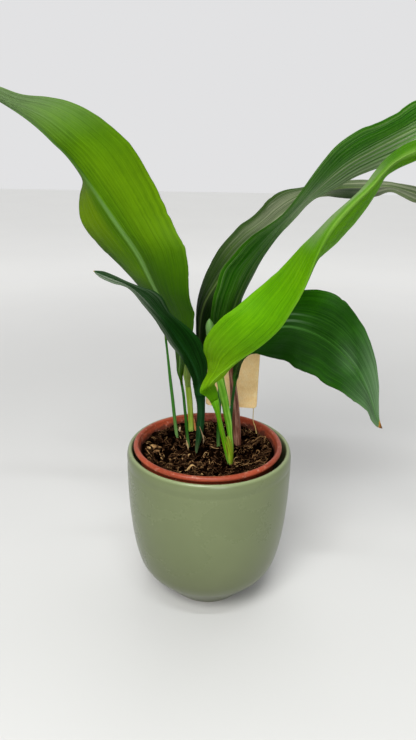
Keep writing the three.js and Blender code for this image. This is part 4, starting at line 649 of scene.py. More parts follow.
DRY_SHEATH = [
    (21.9, 18.1, 112.9, 24.2, 18.1, 113, 26.3, 18, 113.1),
    (21.9, 18.1, 123.9, 24.2, 18.1, 124, 26.3, 18, 124.1),
    (20.7, 20.7, 130.3, 23.4, 18.6, 131.4, 26.2, 20.7, 130.5),
    (19.8, 21.1, 137.9, 22.7, 19.3, 138.8, 25.8, 21, 138),
    (19.1, 21.7, 145.3, 22, 19.9, 146.2, 25.1, 21.6, 145.5),
    (18.5, 22.4, 152.7, 21.4, 20.5, 153.6, 24.4, 22.4, 152.8),
    (17.9, 23.2, 160.1, 20.8, 21.2, 161, 23.6, 23.3, 160.2),
    (17.4, 24, 167.4, 20.1, 21.9, 168.4, 22.8, 24.1, 167.5),
    (16.8, 24.7, 174.8, 19.3, 22.3, 175.8, 21.8, 24.7, 174.9),
    (16.1, 25.2, 182.1, 18.3, 22.6, 183.1, 20.6, 25.3, 182.2),
    (15.2, 25.8, 189.4, 17.1, 22.9, 190.5, 19, 25.8, 189.5),
    (14.2, 26.3, 196.8, 15.9, 23.3, 197.8, 17.5, 26.3, 196.8),
    (13.5, 26.9, 204.1, 14.6, 23.6, 205.1, 15.8, 26.8, 204.1),
    (13.1, 25, 210.6, 13.4, 23.9, 211, 13.7, 25, 210.6)]
SHOOT_FOOT = [
    (16, -18, 114.3, 17.5, -18.2, 114.5, 18.9, -18, 114.4),
    (15.5, -19, 123, 17.2, -19.4, 123.3, 18.8, -19, 123.5),
    (14.2, -19.6, 129.6, 16.7, -20.4, 130.1, 19.4, -19.4, 130.1),
    (13.1, -20.2, 135.2, 16.2, -21.2, 135.8, 19.5, -19.6, 135.5),
    (12, -20.8, 140.4, 15.4, -21.8, 140.9, 19.1, -19.8, 140.4),
    (11.2, -21.2, 144.5, 14.6, -22.2, 145, 18.4, -20, 144.5),
    (10.7, -21.6, 147.7, 13.9, -22.4, 148.2, 17.6, -20.4, 147.7),
    (10.3, -22, 150.5, 13.2, -22.6, 150.8, 16.6, -20.8, 150.4)]
BITS = {
    "dry_scale_left": [
        (-18.4, 8.9, 123.8, -17.4, 9, 124, -16.4, 9.1, 124.2),
        (-19.5, 9, 127.9, -18.3, 9.2, 128.1, -17, 9.4, 128.4),
        (-19.7, 9.5, 132, -19.3, 9.6, 132.1, -18.9, 9.7, 132.2)],
    "dry_scale_front": [
        (-5.5, -3.5, 135.7, -4.9, -3.5, 135.7, -4.2, -3.5, 135.7),
        (-5.7, -5.3, 140.5, -4.6, -5.2, 140.6, -3.6, -5.1, 140.7),
        (-6.8, -7, 146.5, -6, -6.9, 146.8, -5.1, -6.8, 147),
        (-8.1, -8.4, 152.6, -7.8, -8.3, 152.7, -7.5, -8.2, 152.8)],
    "dry_scale_back": [
        (-13.5, 38.3, 126.7, -12.3, 38.4, 126.8, -11.1, 38.5, 127),
        (-14, 38.7, 131.4, -12.9, 38.8, 131.5, -11.7, 38.9, 131.6),
        (-14.3, 39.5, 137.9, -13.8, 39.5, 137.9, -13.4, 39.5, 138)],
    "cut_stub": [
        (-28, 31.5, 125.2, -27, 31.5, 125, -25.9, 31.5, 124.8),
        (-27.5, 31.7, 128.9, -26.4, 31.7, 128.8, -25.3, 31.7, 128.6),
        (-26.6, 32, 133.1, -25.9, 32, 133, -25.1, 32, 132.9)],
    "stalk": [
        (41.3, 24.4, 122.5),
        (41, 25, 128.5),
        (39.6, 29.3, 136),
        (37.9, 32.4, 140.3),
        (37.7, 34.6, 150.6),
        (37.3, 35.1, 163.5),
        (36.6, 36.1, 186),
        (35.8, 36.9, 201.8)],
}

# ------------------------------------------------------------------ shapes


def lathe(name, profile, segments, centre=(0.0, 0.0)):
    """Turned solid from a profile of (radius, height) in mm whose ends lie on the axis."""
    P = np.asarray(profile, float)
    ang = np.linspace(0, 2 * np.pi, segments, endpoint=False)
    verts, ring_at = [], []
    for r, z in P:
        if r < 1e-6:
            ring_at.append([len(verts)])
            verts.append((centre[0] * MM, centre[1] * MM, z * MM))
        else:
            ring_at.append(list(range(len(verts), len(verts) + segments)))
            verts += [((centre[0] + r * math.cos(a)) * MM, (centre[1] + r * math.sin(a)) * MM, z * MM) for a in ang]
    faces = []
    for a, b in zip(ring_at[:-1], ring_at[1:]):
        for k in range(segments):
            k2 = (k + 1) % segments
            if len(a) == 1:
                faces.append((a[0], b[k2], b[k]))
            elif len(b) == 1:
                faces.append((a[k], a[k2], b[0]))
            else:
                faces.append((a[k], a[k2], b[k2], b[k]))
    return obj_from(name, verts, faces)


def spline_profile(points, n):
    P = np.asarray(points, float)
    t = np.linspace(0, 1, 1500)
    Q = catmull(P, t)
    d = np.r_[0, np.cumsum(np.linalg.norm(np.diff(Q, axis=0), axis=1))]
    s = np.linspace(0, d[-1], n)
    return np.stack([np.interp(s, d, Q[:, k]) for k in range(2)], 1)


def closed_tube(name, rings, smooth=True):
    """rings (n, m, 3) in mm, closed across by fans at both ends."""
    n, m, _ = rings.shape
    verts = [tuple(v) for v in (rings.reshape(-1, 3) * MM)]
    faces = []
    for i in range(n - 1):
        for k in range(m):
            k2 = (k + 1) % m
            faces.append((i * m + k, i * m + k2, (i + 1) * m + k2, (i + 1) * m + k))
    a, b = len(verts), len(verts) + 1
    verts.append(tuple(rings[0].mean(0) * MM))
    verts.append(tuple(rings[-1].mean(0) * MM))
    for k in range(m):
        k2 = (k + 1) % m
        faces.append((a, k2, k))
        faces.append((b, (n - 1) * m + k, (n - 1) * m + k2))
    return obj_from(name, verts, faces, smooth)


def arc_resample(fn, n, bias=None):
    """Parameters in 0..1 that step evenly along fn's middle line, optionally closer at places given by bias(u)."""
    t = np.linspace(0, 1, 4000)
    P = fn(t)
    d = np.r_[0, np.cumsum(np.linalg.norm(np.diff(P, axis=0), axis=1))]
    if bias is not None:
        w = bias(d[:-1] / d[-1])
        d2 = np.r_[0, np.cumsum(np.diff(d) * w)]
    else:
        d2 = d
    s = np.linspace(0, d2[-1], n)
    return np.interp(s, d2, t), d[-1], np.interp(np.interp(s, d2, t), t, d / d[-1])


def make_leaf(name, stalk_rows, blade_rows, cfg):
    """One leaf: its stalk and its blade as one closed skin. Rows hold left edge, middle, right edge in mm."""
    S = np.asarray(stalk_rows, float).reshape(-1, 3, 3)
    B = np.asarray(blade_rows, float).reshape(-1, 3, 3)
    rows = np.concatenate([S[:-1], B])
    ns, nt = len(S) - 1, len(rows)
    seed = cfg.get("seed", 1)
    tj = ns / (nt - 1)
    fm = lambda t: catmull(rows[:, 1], t)
    ts, ls, _ = arc_resample(lambda t: fm(t * tj), cfg.get("n_stalk", 46))
    nb = cfg.get("n_blade", 190)
    tb, lb, _ = arc_resample(lambda t: fm(tj + t * (1 - tj)), nb, lambda u: 1 + 1.6 * np.exp(-u / 0.05) + 1.6 * np.exp(-(1 - u) / 0.05))
    t = np.r_[ts[:-1] * tj, tj + tb * (1 - tj)]
    t = t[:-1]  # the tip is closed by the fan
    L, M, R = (catmull(rows[:, k], t) for k in range(3))
    # distance along the middle line, from the junction, in mm
    d = np.r_[0, np.cumsum(np.linalg.norm(np.diff(M, axis=0), axis=1))]
    j = len(ts) - 1
    along = d - d[j]
    s = along / lb  # 0 at the junction, 1 at the tip, negative on the stalk
    half = cfg.get("half", 48)
    q = 0.5 * (1 - np.cos(np.pi * np.arange(half + 1) / half))
    q = 0.35 * q + 0.65 * np.arange(half + 1) / half
    x = np.r_[-q[::-1], q[1:]]  # -1..1, 2*half+1 samples
    X = x[None, :]
    Q = np.abs(X)
    jag = cfg.get("jag", 0.5)
    for k_, edge_pts in ((0, L), (1, R)):
        out_ = edge_pts - M
        wd = np.linalg.norm(out_, axis=1, keepdims=True)
        wob = value_noise(s * lb * 0.085 + 11 * k_, seed * 7 + 60 + k_, 3)
        nick = np.clip(value_noise(s * lb * 0.16 + 5 * k_, seed * 7 + 70 + k_, 1) - 0.72, 0, 1) * 3.2
        move = (jag * wob - jag * nick) * smoothstep(0.04, 0.14, s) * smoothstep(1.0, 0.95, s)
        edge_pts += out_ / np.maximum(wd, 1e-6) * move[:, None]
    edge = np.where(X[..., None] < 0, L[:, None, :], R[:, None, :])
    # round the crease at the midrib a little: the sheet leaves M in a common direction
    sheet = M[:, None, :] + (edge - M[:, None, :]) * Q[..., None]
    W = np.where(X < 0, np.linalg.norm(L - M, axis=1)[:, None], np.linalg.norm(R - M, axis=1)[:, None])
    blade_w = smoothstep(0.0, 0.09, s)[:, None]
    rho = X * W
    fold = cfg.get("round", 0.10)
    mean_edge = 0.5 * (L + R) - M
    soft = fold * np.exp(-((Q / 0.16) ** 2)) * blade_w
    sheet = sheet + mean_edge[:, None, :] * soft[..., None] * 0.6

    def normals(G):
        du = np.gradient(G, axis=1)
        dv = np.gradient(G, axis=0)
        nn = np.cross(du, dv)
        ln = np.linalg.norm(nn, axis=2, keepdims=True)
        nn = nn / np.maximum(ln, 1e-9)
        return nn

    N = normals(sheet)
    # cambered halves, pleats between the main veins, wavy margins and a broad undulation
    S2, R2 = np.broadcast_arrays(s[:, None], rho)
    fade = smoothstep(0.01, 0.12, S2) * smoothstep(1.0, 0.93, S2)
    camber = cfg.get("camber", 0.045) * W * 4 * Q * (1 - Q)
    camber = np.where(X < 0, camber * cfg.get("camber_l", 1.0), camber * cfg.get("camber_r", 1.0))
    w_top = max(W.max(), 1.0)
    VX = X * w_top + 0 * R2
    tight = np.clip(W / w_top, 0, 1)
    coarse = value_noise2(VX * cfg.get("pleat_freq", 0.22) + 40, S2 * lb * 0.004 + 3, seed * 5 + 1, 1)
    close = value_noise2(VX * 0.52 + 80, S2 * lb * 0.003 + 9, seed * 5 + 6, 1)
    folds = 0.62 * coarse + 0.38 * close
    gather = 1 + cfg.get("gather", 0.8) * smoothstep(0.34, 0.08, s)[:, None]
    pleat = cfg.get("pleat", 0.3) * folds * gather * (0.45 + 0.55 * tight) * np.clip(W / 5, 0, 1) * (1 - 0.35 * Q)
    vein = 0.10 * (1 - 2.2 * np.abs(value_noise2(VX * 0.36 + 90, S2 * lb * 0.003 + 7, seed * 5 + 2, 1))) * np.clip(W / 8, 0, 1)
    # used only for colour: painted shade in the pleat troughs and painted light on their crests
    relief = np.clip(0.5 + 0.5 * (0.8 * folds + 0.35 * vein / 0.10), 0, 1)
    side_seed = np.where(X < 0, 0.0, 13.0)
    rip = value_noise2(S2 * lb * 0.035 + side_seed, side_seed + 0 * S2, seed * 5 + 3, 2) * cfg.get("ripple", 0.7) * Q**2
    und = value_noise2(S2 * lb * 0.014 + 60, R2 * 0.03 + 5, seed * 5 + 4, 2) * cfg.get("undulate", 0.7) * (0.35 + 0.65 * Q)
    fade_p = smoothstep(0.0, 0.06, S2) * smoothstep(1.0, 0.93, S2)
    off = camber * blade_w + (rip + und) * fade + (pleat + vein) * fade_p
    sheet = sheet + N * off[..., None]
    N = normals(sheet)
    # thickness: an oval with a channel on the stalk, a lamina with a keel along the midrib on the blade
    ws = 0.5 * (np.linalg.norm(L - M, axis=1) + np.linalg.norm(R - M, axis=1))
    w_j = min(ws[j], cfg.get("depth_cap", 99.0))
    depth = cfg.get("depth", 0.86)
    circ = np.sqrt(np.clip(1 - Q**2, 0, 1))
    full = np.minimum(ws, cfg.get("depth_cap", 99.0))
    stalk_front = depth * full[:, None] * (circ - 0.42 * np.exp(-((Q / 0.42) ** 2)) * smoothstep(-0.5, 0.0, s)[:, None])
    stalk_back = depth * full[:, None] * circ
    lam = cfg.get("lamina", 0.5) / 2
    edge_round = np.sqrt(np.clip(1 - Q**24, 0, 1))
    keel_h = 0.42 + (1.5 * w_j - 0.42) * np.exp(-np.clip(s, 0, 1) / 0.13)
    keel_w = 0.9 + (0.95 * w_j - 0.9) * np.exp(-np.clip(s, 0, 1) / 0.16)
    keel = keel_h[:, None] * np.exp(-((R2 / keel_w[:, None]) ** 2)) * smoothstep(1.0, 0.8, S2)
    groove = cfg.get("groove", 0.22) * np.exp(-((R2 / 0.75) ** 2)) - 0.09 * np.exp(-(((np.abs(R2) - 1.9) / 0.8) ** 2))
    k = cfg.get("keel_side", -1)
    front_b = lam * edge_round + (keel * 0.9 if k > 0 else keel * 0.12 - groove) * edge_round
    back_b = lam * edge_round + (keel * 0.9 if k < 0 else keel * 0.12 - groove) * edge_round
    bw = smoothstep(-0.01, cfg.get("thin_by", 0.055), s)[:, None]
    front = stalk_front * (1 - bw) + front_b * bw
    back = stalk_back * (1 - bw) + back_b * bw
    tipf = smoothstep(1.0, 0.985, s)[:, None] * 0.8 + 0.2
    F = sheet + N * (front * tipf)[..., None]
    K = sheet - N * (back * tipf)[..., None]
    m = X.shape[1]
    both = lambda a: np.concatenate([np.broadcast_to(a, (len(s), m)), np.broadcast_to(a, (len(s), m))[:, -2:0:-1]], axis=1)
    rings = np.concatenate([F, K[:, -2:0:-1]], axis=1)
    fx, fs, fr, fw = both(X), both(s[:, None]), both(R2), both(W)
    fside = np.broadcast_to(np.r_[np.zeros(m), np.ones(m - 2)], fx.shape)
    mid = cfg["midfn"](fs, fr, fx, fside) if "midfn" in cfg else cfg.get("mid_amt", 0.55) * np.exp(-((fr / (0.8 + 1.6 * np.exp(-np.clip(fs, 0, 1) / 0.25))) ** 2))
    margin = np.exp(-(1 - np.abs(fx)) * np.maximum(fw, 1) / cfg.get("edge_w", 0.9)) * smoothstep(0.0, 0.05, fs)
    wear = cfg["wearfn"](fs, fr, fx) if "wearfn" in cfg else smoothstep(0.985, 1.0, fs) * cfg.get("tip_wear", 0.5)
    # a: painted shade on most leaves; the back leaf's paler base and the front leaf's yellower foot are their own
    # colour
    a = cfg["paintfn"](fs, fr, fx, fside) if "paintfn" in cfg else np.zeros_like(fs)
    # b: painted sheen, greyish highlights and reflections on the blade
    b = cfg["sheen_fn"](fs, fr, fx, fside) if "sheen_fn" in cfg else np.zeros_like(fs)
    # c3: painted light on the left leaf, painted shade on the front leaf
    c3 = cfg["light_and_shade_fn"](fs, fr, fx, fside) if "light_and_shade_fn" in cfg else np.zeros_like(fs)

    def emit(nm, lo, hi, cols, cols2, squeeze=None, extra=None):
        rg = rings[lo:hi].copy()
        if squeeze is not None:
            for i in range(squeeze, hi):
                c = rg[i - lo].mean(0)
                rg[i - lo] = c + (rg[i - lo] - c) * 0.90
        ob = closed_tube(nm, rg)
        if squeeze is None:
            # the hidden end inside the stalk keeps its own flat shading, so no dark ring shows round it
            start = (hi - lo - 1) * rg.shape[1]
            flat = np.ones(len(ob.data.polygons), bool)
            flat[start::2] = False
            ob.data.polygons.foreach_set("use_smooth", flat)

        def put(key, arrays):
            st = np.stack([np.broadcast_to(q_, fx.shape)[lo:hi] for q_ in arrays], -1)
            ends = np.stack([st[0].mean(0), st[-1].mean(0)])
            point_attr(ob, key, np.vstack([st.reshape(-1, 3), ends]), "FLOAT_VECTOR")

        put("leaf", (fx, fs, fx * w_top))
        if extra is not None:
            put("relief", extra)
        put("feat", cols)
        put("feat2", cols2)
        return ob

    rl = both(relief)
    # the relief attribute also carries the third painted patch of light and shade
    blade_ob = emit(name + "_lamina", j - 2, len(s), (mid, margin, wear), (a, b, fside), extra=(rl, c3, fw / w_top))
    height = (d / d[j])[:, None]
    foot = smoothstep(0.42, 0.12, height)
    blush = smoothstep(0.1, 0.3, height) * smoothstep(0.95, 0.6, height)
    stalk_ob = emit(name + "_petiole", 0, j + 3, (0 * fs, blush, foot), (0 * fs, 0 * fs, fside), j - 1)
    return blade_ob, stalk_ob, lb

# ------------------------------------------------------------------ materials


def glaze_material():
    n = Nodes("sage_glaze")
    co = n.obj_coords()
    xyz = n.separate(co)
    broad = n.noise(co, 9.0, 3, 0.55)
    fine = n.noise(co, 420.0, 3, 0.6)
    height = xyz[2]
    base = n.ramp(broad, [(0.3, srgb("#606948")), (0.5, srgb("#656e4c")), (0.72, srgb("#6b7451"))])
    # painted shade: the glaze darkens towards the bottom
    low = n.map(height, 0.0, 0.09, 0.0, 1.0, True)
    base = n.mix(low, n.mix(0.85, base, srgb("#51563a")), base)
    # paler lip: partly the glaze thinning at the edge, partly a painted highlight
    lip = n.map(height, 0.1308, 0.1332, 0.0, 1.0, True)
    base = n.mix(n.math("MULTIPLY", lip, 0.62), base, srgb("#8d9970"))
    band = n.math("MULTIPLY", n.map(height, 0.1238, 0.1254, 0.0, 1.0, True), n.map(height, 0.1254, 0.1272, 1.0, 0.0, True))
    base = n.mix(n.math("MULTIPLY", band, 0.3), base, srgb("#5d6645"))
    base = n.mix(n.map(fine, 0.3, 0.7, 0.0, 0.03), base, srgb("#7d8660"))
    pin = n.voronoi(co, 330.0)
    base = n.mix(n.map(pin, 0.03, 0.09, 0.06, 0.0, True), base, srgb("#6d7753"))
    foot = n.map(height, 0.0006, 0.0026, 1.0, 0.0, True)
    base = n.mix(n.math("MULTIPLY", foot, 0.75), base, srgb("#8f876c"))
    rough = n.math("ADD", n.map(broad, 0.3, 0.7, 0.25, 0.31), n.math("MULTIPLY", foot, 0.35))
    rough = n.math("ADD", rough, n.map(fine, 0.3, 0.7, -0.002, 0.003))
    bump = n.bump(n.noise(co, 22.0, 2, 0.4), 0.05, 0.0006)
    sh = n.principled(base, rough, bump, 0.33)
    return n.done(sh.outputs[0])


def terracotta_material():
    n = Nodes("terracotta_plastic")
    co = n.obj_coords()
    xyz = n.separate(co)
    broad = n.noise(co, 28.0, 4, 0.6)
    fine = n.noise(co, 700.0, 4, 0.7)
    base = n.ramp(broad, [(0.3, srgb("#742a16")), (0.55, srgb("#8a361e")), (0.75, srgb("#9b4329"))])
    base = n.mix(n.map(fine, 0.35, 0.7, 0.0, 0.22), base, srgb("#bd6a4a"))
    inner = n.attr("inner", "Fac")
    dirt = n.noise(co, 95.0, 6, 0.72)
    level = n.map(xyz[2], 0.129, 0.1370, 0.92, 0.12)
    mud = n.math("GREATER_THAN", n.math("ADD", n.math("MULTIPLY", dirt, 1.0), n.math("MULTIPLY", level, 0.62)), 0.86)
    soft = n.map(n.math("ADD", dirt, n.math("MULTIPLY", level, 0.62)), 0.76, 0.95, 0.0, 1.0, True)
    dirtf = n.math("MULTIPLY", n.math("MULTIPLY", soft, inner), 0.85)
    base = n.mix(dirtf, base, srgb("#3a2015"))
    dust = n.math("MULTIPLY", n.map(n.noise(co, 240.0, 5, 0.75), 0.56, 0.66, 0.0, 1.0, True), 0.34)
    base = n.mix(dust, base, srgb("#c99a83"))
    rough = n.math("ADD", n.map(broad, 0.3, 0.7, 0.34, 0.46), n.math("MULTIPLY", dirtf, 0.4), clamp=True)
    rough = n.math("ADD", rough, n.math("MULTIPLY", dust, 0.35), clamp=True)
    bump = n.bump(n.noise(co, 900.0, 3, 0.6), 0.22, 0.0004)
    bump = n.bump(soft, 0.35, 0.0005, bump)
    sh = n.principled(base, rough, bump, 0.28)
    return n.done(sh.outputs[0])


def soil_material(name, stops, bump_scale=900.0, rough=0.93, strength=0.7):
    n = Nodes(name)
    co = n.obj_coords()
    tone = n.attr("tone", "Fac")
    grain = n.noise(co, bump_scale, 5, 0.7)
    broad = n.noise(co, 60.0, 4, 0.6)
    t = n.math("ADD", tone, n.map(grain, 0.2, 0.8, -0.16, 0.16), clamp=True)
    t = n.math("ADD", t, n.map(broad, 0.3, 0.7, -0.10, 0.10), clamp=True)
    base = n.ramp(t, stops)
    r = n.map(grain, 0.3, 0.7, rough - 0.12, min(1.0, rough + 0.05))
    bump = n.bump(grain, strength, 0.0009)
    sh = n.principled(base, r, bump, 0.0)
    return n.done(sh.outputs[0])


def card_material():
    n = Nodes("kraft_card")
    co = n.obj_coords()
    wide = n.new("ShaderNodeMapping")
    wide.inputs["Scale"].default_value = (1.0, 1.0, 0.35)
    n.link(co, wide.inputs["Vector"])
    fibre = n.noise(wide.outputs[0], 1500.0, 4, 0.65)
    cloud = n.noise(co, 120.0, 4, 0.6)
    fleck = n.voronoi(wide.outputs[0], 800.0)
    base = n.ramp(cloud, [(0.3, srgb("#f8d393")), (0.5, srgb("#fedd9f")), (0.7, srgb("#ffe6b0"))])
    base = n.mix(n.map(fibre, 0.35, 0.7, 0.0, 0.35), base, srgb("#cfa468"))
    base = n.mix(n.math("MULTIPLY", n.map(fleck, 0.0, 0.1, 1.0, 0.0, True), 0.5), base, srgb("#a87c45"))
    bump = n.bump(fibre, 0.35, 0.0002)
    sh = n.principled(base, n.map(fibre, 0.3, 0.7, 0.78, 0.92), bump, 0.25)
    return n.done(sh.outputs[0])


def dry_material(name, dark, mid, pale, stripe=2600.0, rough=0.62):
    """Dry plant skin with lengthways stripes: reads the leaf coordinates (across, along, distance in mm)."""
    n = Nodes(name)
    lx = n.separate(n.attr("leaf"))
    line = n.noise(n.combine(n.math("MULTIPLY", lx[2], 1.9), n.math("MULTIPLY", lx[1], 2.5), 0.3), 1.0, 4, 0.62)
    blot = n.noise(n.combine(n.math("MULTIPLY", lx[2], 0.35), n.math("MULTIPLY", lx[1], 9.0), 4.3), 1.0, 3, 0.6)
    t = n.math("ADD", n.math("MULTIPLY", line, 0.75), n.math("MULTIPLY", blot, 0.35))
    base = n.ramp(t, [(0.34, srgb(dark)), (0.55, srgb(mid)), (0.74, srgb(pale))])
    bump = n.bump(line, 0.6, 0.0004)
    sh = n.principled(base, n.map(line, 0.3, 0.7, rough - 0.1, rough + 0.15), bump, 0.35)
    return n.done(sh.outputs[0])


def leaf_material(name, cfg):
    """Living leaf: coordinates come from the mesh as (across -1..1, along 0..1, mm across at its widest), with the
    painted features as (midrib, margin, wear), (patch mostly of painted shade, patch of painted sheen, back) and the
    relief of its pleats, which paints shade in the troughs and light on the crests, with a third patch of painted light
    and shade."""
    n = Nodes(name)
    lx = n.separate(n.attr("leaf"))
    ft = n.separate(n.attr("feat"))
    ft2 = n.separate(n.attr("feat2"))
    rel = n.separate(n.attr("relief"))
    rho, s = lx[2], lx[1]
    seed = cfg.get("seed", 1) * 3.7
    length = cfg["length"]
    # lengthways fibres: close, thin lines, and the wider stripes between the main veins
    fib = n.noise(n.combine(n.math("MULTIPLY", rho, cfg.get("lines", 0.8)), n.math("MULTIPLY", s, length * 0.010), seed), 1.0, 3, 0.7)
    fib2 = n.noise(n.combine(n.math("MULTIPLY", rho, 2.2), n.math("MULTIPLY", s, length * 0.02), seed + 9), 1.0, 2, 0.6)
    line = n.noise(n.combine(n.math("MULTIPLY", rho, 0.42), n.math("MULTIPLY", s, length * 0.005), seed + 31), 1.0, 1, 0.5)
    line2 = n.noise(n.combine(n.math("MULTIPLY", rho, 0.80), n.math("MULTIPLY", s, length * 0.004), seed + 57), 1.0, 0, 0.5)
    blot = n.noise(n.obj_coords(), 18.0, 4, 0.6)
    cloud = n.noise(n.obj_coords(), 70.0, 4, 0.65)
    cells = n.noise(n.obj_coords(), 1100.0, 3, 0.6)
    # the pleat relief picks darker or lighter green: painted shade in the pleat troughs, painted light on the crests;
    # blot and cloud add random tone
    kr = cfg.get("relief", 0.25)
    t = n.math("ADD", n.math("MULTIPLY", rel[0], kr), n.math("MULTIPLY", blot, 0.70 - kr))
    t = n.math("ADD", t, n.math("MULTIPLY", cloud, 0.30))
    base = n.ramp(t, [(0.34, srgb(cfg["dark"])), (0.5, srgb(cfg["mid"])), (0.66, srgb(cfg["light"]))])
    k = cfg.get("fibre", 0.5)
    base = n.mix(n.map(fib, 0.50, 0.68, 0.0, k), base, srgb(cfg["vein"]))
    base = n.mix(n.map(fib, 0.48, 0.34, 0.0, k * 0.95), base, srgb(cfg["dark"]))
    base = n.mix(n.map(fib2, 0.5, 0.72, 0.0, k * 0.55), base, srgb(cfg["dark"]))
    # narrow pale lines where the main veins run, stronger where the painted sheen lies
    ridge = n.math("ABSOLUTE", n.math("SUBTRACT", line, 0.5))
    ridge2 = n.math("ABSOLUTE", n.math("SUBTRACT", line2, 0.5))
    kl = cfg.get("line", 0.35)
    weight = n.map(ft2[1], 0.0, 0.5, cfg.get("line_low", 0.45), 1.0)
    main = n.map(ridge, 0.0, 0.030, 1.0, 0.0)
    minor = n.map(ridge2, 0.0, 0.055, 1.0, 0.0)
    base = n.mix(n.math("MULTIPLY", n.math("MULTIPLY", minor, kl * 0.6), weight), base, srgb(cfg.get("line_col", cfg["vein"])))
    base = n.mix(n.math("MULTIPLY", n.math("MULTIPLY", main, kl), weight), base, srgb(cfg.get("line_col", cfg["vein"])))
    trough = n.map(ridge2, 0.10, 0.24, 0.0, 1.0)
    base = n.mix(n.math("MULTIPLY", trough, k * 0.5), base, srgb(cfg["dark"]))
    # features
    base = n.mix(n.math("MULTIPLY", ft[1], cfg.get("edge_mix", 0.12)), base, srgb(cfg.get("edge", "#8aa02a")))
    soft = n.map(fib, 0.38, 0.62, 0.7, 1.0)
    stripes = n.map(fib, 0.42, 0.60, cfg.get("sheen_floor", 0.25), 1.0)
    # first painted patch: painted shade on most leaves (bases, creases, folds); on the back leaf a paler base and on
    # the front leaf a yellower foot, their own colour
    base = n.mix(n.math("MULTIPLY", ft2[0], soft), base, srgb(cfg.get("paint_a", "#3c5c10")))
    # painted sheen: a greyish highlight patch laid over the green in broken stripes
    base = n.mix(n.math("MULTIPLY", ft2[1], stripes), base, srgb(cfg.get("sheen_col", "#a8b890")))
    # third painted patch: painted light on the left leaf's lobe, painted shade on the front leaf
    base = n.mix(n.math("MULTIPLY", rel[1], soft), base, srgb(cfg.get("light_and_shade_col", "#204a04")))
    midc = n.mix(n.map(fib2, 0.35, 0.7, 0.0, 0.5), srgb(cfg["midrib"]), srgb(cfg["vein"]))
    base = n.mix(ft[0], base, midc)
    back = n.mix(0.45, base, srgb(cfg.get("back", "#6d8a4a")))
    base = n.mix(n.math("MULTIPLY", ft2[2], cfg.get("back_mix", 0.6)), base, back)
    brown = n.noise(n.obj_coords(), 260.0, 3, 0.6)
    worn = n.math("ADD", ft[2], n.map(brown, 0.3, 0.7, -0.18, 0.18))
    wear = n.map(worn, 0.45, 0.62, 0.0, 1.0, True)
    wear_c = n.ramp(ft[2], [(0.45, srgb("#b98f3c")), (0.8, srgb("#8a5a24")), (1.0, srgb("#5d3b1c"))])
    base = n.mix(wear, base, wear_c)
    spot_d = n.voronoi(n.obj_coords(), 46.0, rand=1.0)
    base = n.mix(n.map(spot_d, 0.012, 0.026, cfg.get("specks", 0.6), 0.0, True), base, srgb("#b4b070"))
    r0 = cfg.get("rough", 0.42)
    rough = n.math("ADD", n.map(fib, 0.3, 0.7, r0 + 0.07, r0 - 0.05), n.map(blot, 0.3, 0.7, -0.04, 0.06))
    rough = n.math("ADD", rough, n.math("MULTIPLY", wear, 0.3), clamp=True)
    h = n.math("ADD", n.math("MULTIPLY", fib, 0.8), n.math("MULTIPLY", fib2, 0.35))
    h = n.math("ADD", h, n.math("MULTIPLY", minor, 0.30))
    h = n.math("ADD", h, n.math("MULTIPLY", main, 0.35))
    h = n.math("ADD", h, n.math("MULTIPLY", cells, 0.08))
    bump = n.bump(h, cfg.get("bump", 0.6), 0.0005)
    sh = n.principled(base, rough, bump, cfg.get("spec", 0.3))
    tr = n.new("ShaderNodeBsdfTranslucent")
    n.link(n.mix(cfg.get("glow_mix", 0.4), base, srgb(cfg.get("glow", "#8fc400"))), tr.inputs["Color"])
    n.link(bump, tr.inputs["Normal"])
    mx = n.new("ShaderNodeMixShader")
    mx.inputs[0].default_value = cfg.get("through", 0.2)
    n.link(sh.outputs[0], mx.inputs[1])
    n.link(tr.outputs[0], mx.inputs[2])
    return n.done(mx.outputs[0])

# ------------------------------------------------------------------ leaves

bell = lambda v, c, w: np.exp(-(((v - c) / w) ** 2))


def mid_left(fs, fr, fx, side):
    w = 1.7 + 0.9 * smoothstep(0.05, 0.18, fs) * (1 - smoothstep(0.30, 0.65, fs))
    return np.exp(-((fr / w) ** 4)) * smoothstep(0.0, 0.06, fs) * (0.9 - 0.5 * smoothstep(0.52, 0.70, fs))


def shade_left(fs, fr, fx, side):
    """Painted shade: the blade darkens into the heart of the plant, beside the midrib and in a furrow further out; its
    lower margin is darker too.
    """
    heart = np.where(fx > 0, 1 - smoothstep(0.27, 0.58, fs), 1 - smoothstep(0.27, 0.38, fs)) * 0.95
    rim = np.exp(-(((fx + 1) / 0.13) ** 2)) * smoothstep(0.22, 0.3, fs) * (1 - smoothstep(0.46, 0.58, fs)) * 0.75
    inner = np.exp(-(((fr + 3.2) / 1.6) ** 2)) * smoothstep(0.15, 0.25, fs) * (1 - smoothstep(0.5, 0.64, fs)) * 0.30
    furrow = np.exp(-(((fr - 1.6) / 1.1) ** 2)) * smoothstep(0.60, 0.68, fs) * 1.0
    return np.clip(np.maximum.reduce([heart, rim, inner, furrow]), 0, 1)


def grey_left(fs, fr, fx, side):
    """Greyish sheen on the strip that turns under, and over the far end."""
    strip = (fr < -1.5) * smoothstep(0.60, 0.72, fs) * 0.62 * (1 - 0.5 * smoothstep(-0.5, -0.9, fx))
    far = smoothstep(0.74, 0.93, fs) * 0.85
    return np.clip(np.maximum(strip, far), 0, 1)


def warm_left(fs, fr, fx, side):
    """The lobe beside the lower margin catches the light and turns yellower."""
    lobe = smoothstep(-0.12, -0.4, fx) * smoothstep(0.40, 0.54, fs) * (1 - smoothstep(0.60, 0.70, fs)) * 0.75
    right_side = smoothstep(0.1, 0.4, fx) * smoothstep(0.38, 0.5, fs) * (1 - smoothstep(0.62, 0.78, fs)) * 0.25
    return np.clip(np.maximum(lobe, right_side), 0, 1)


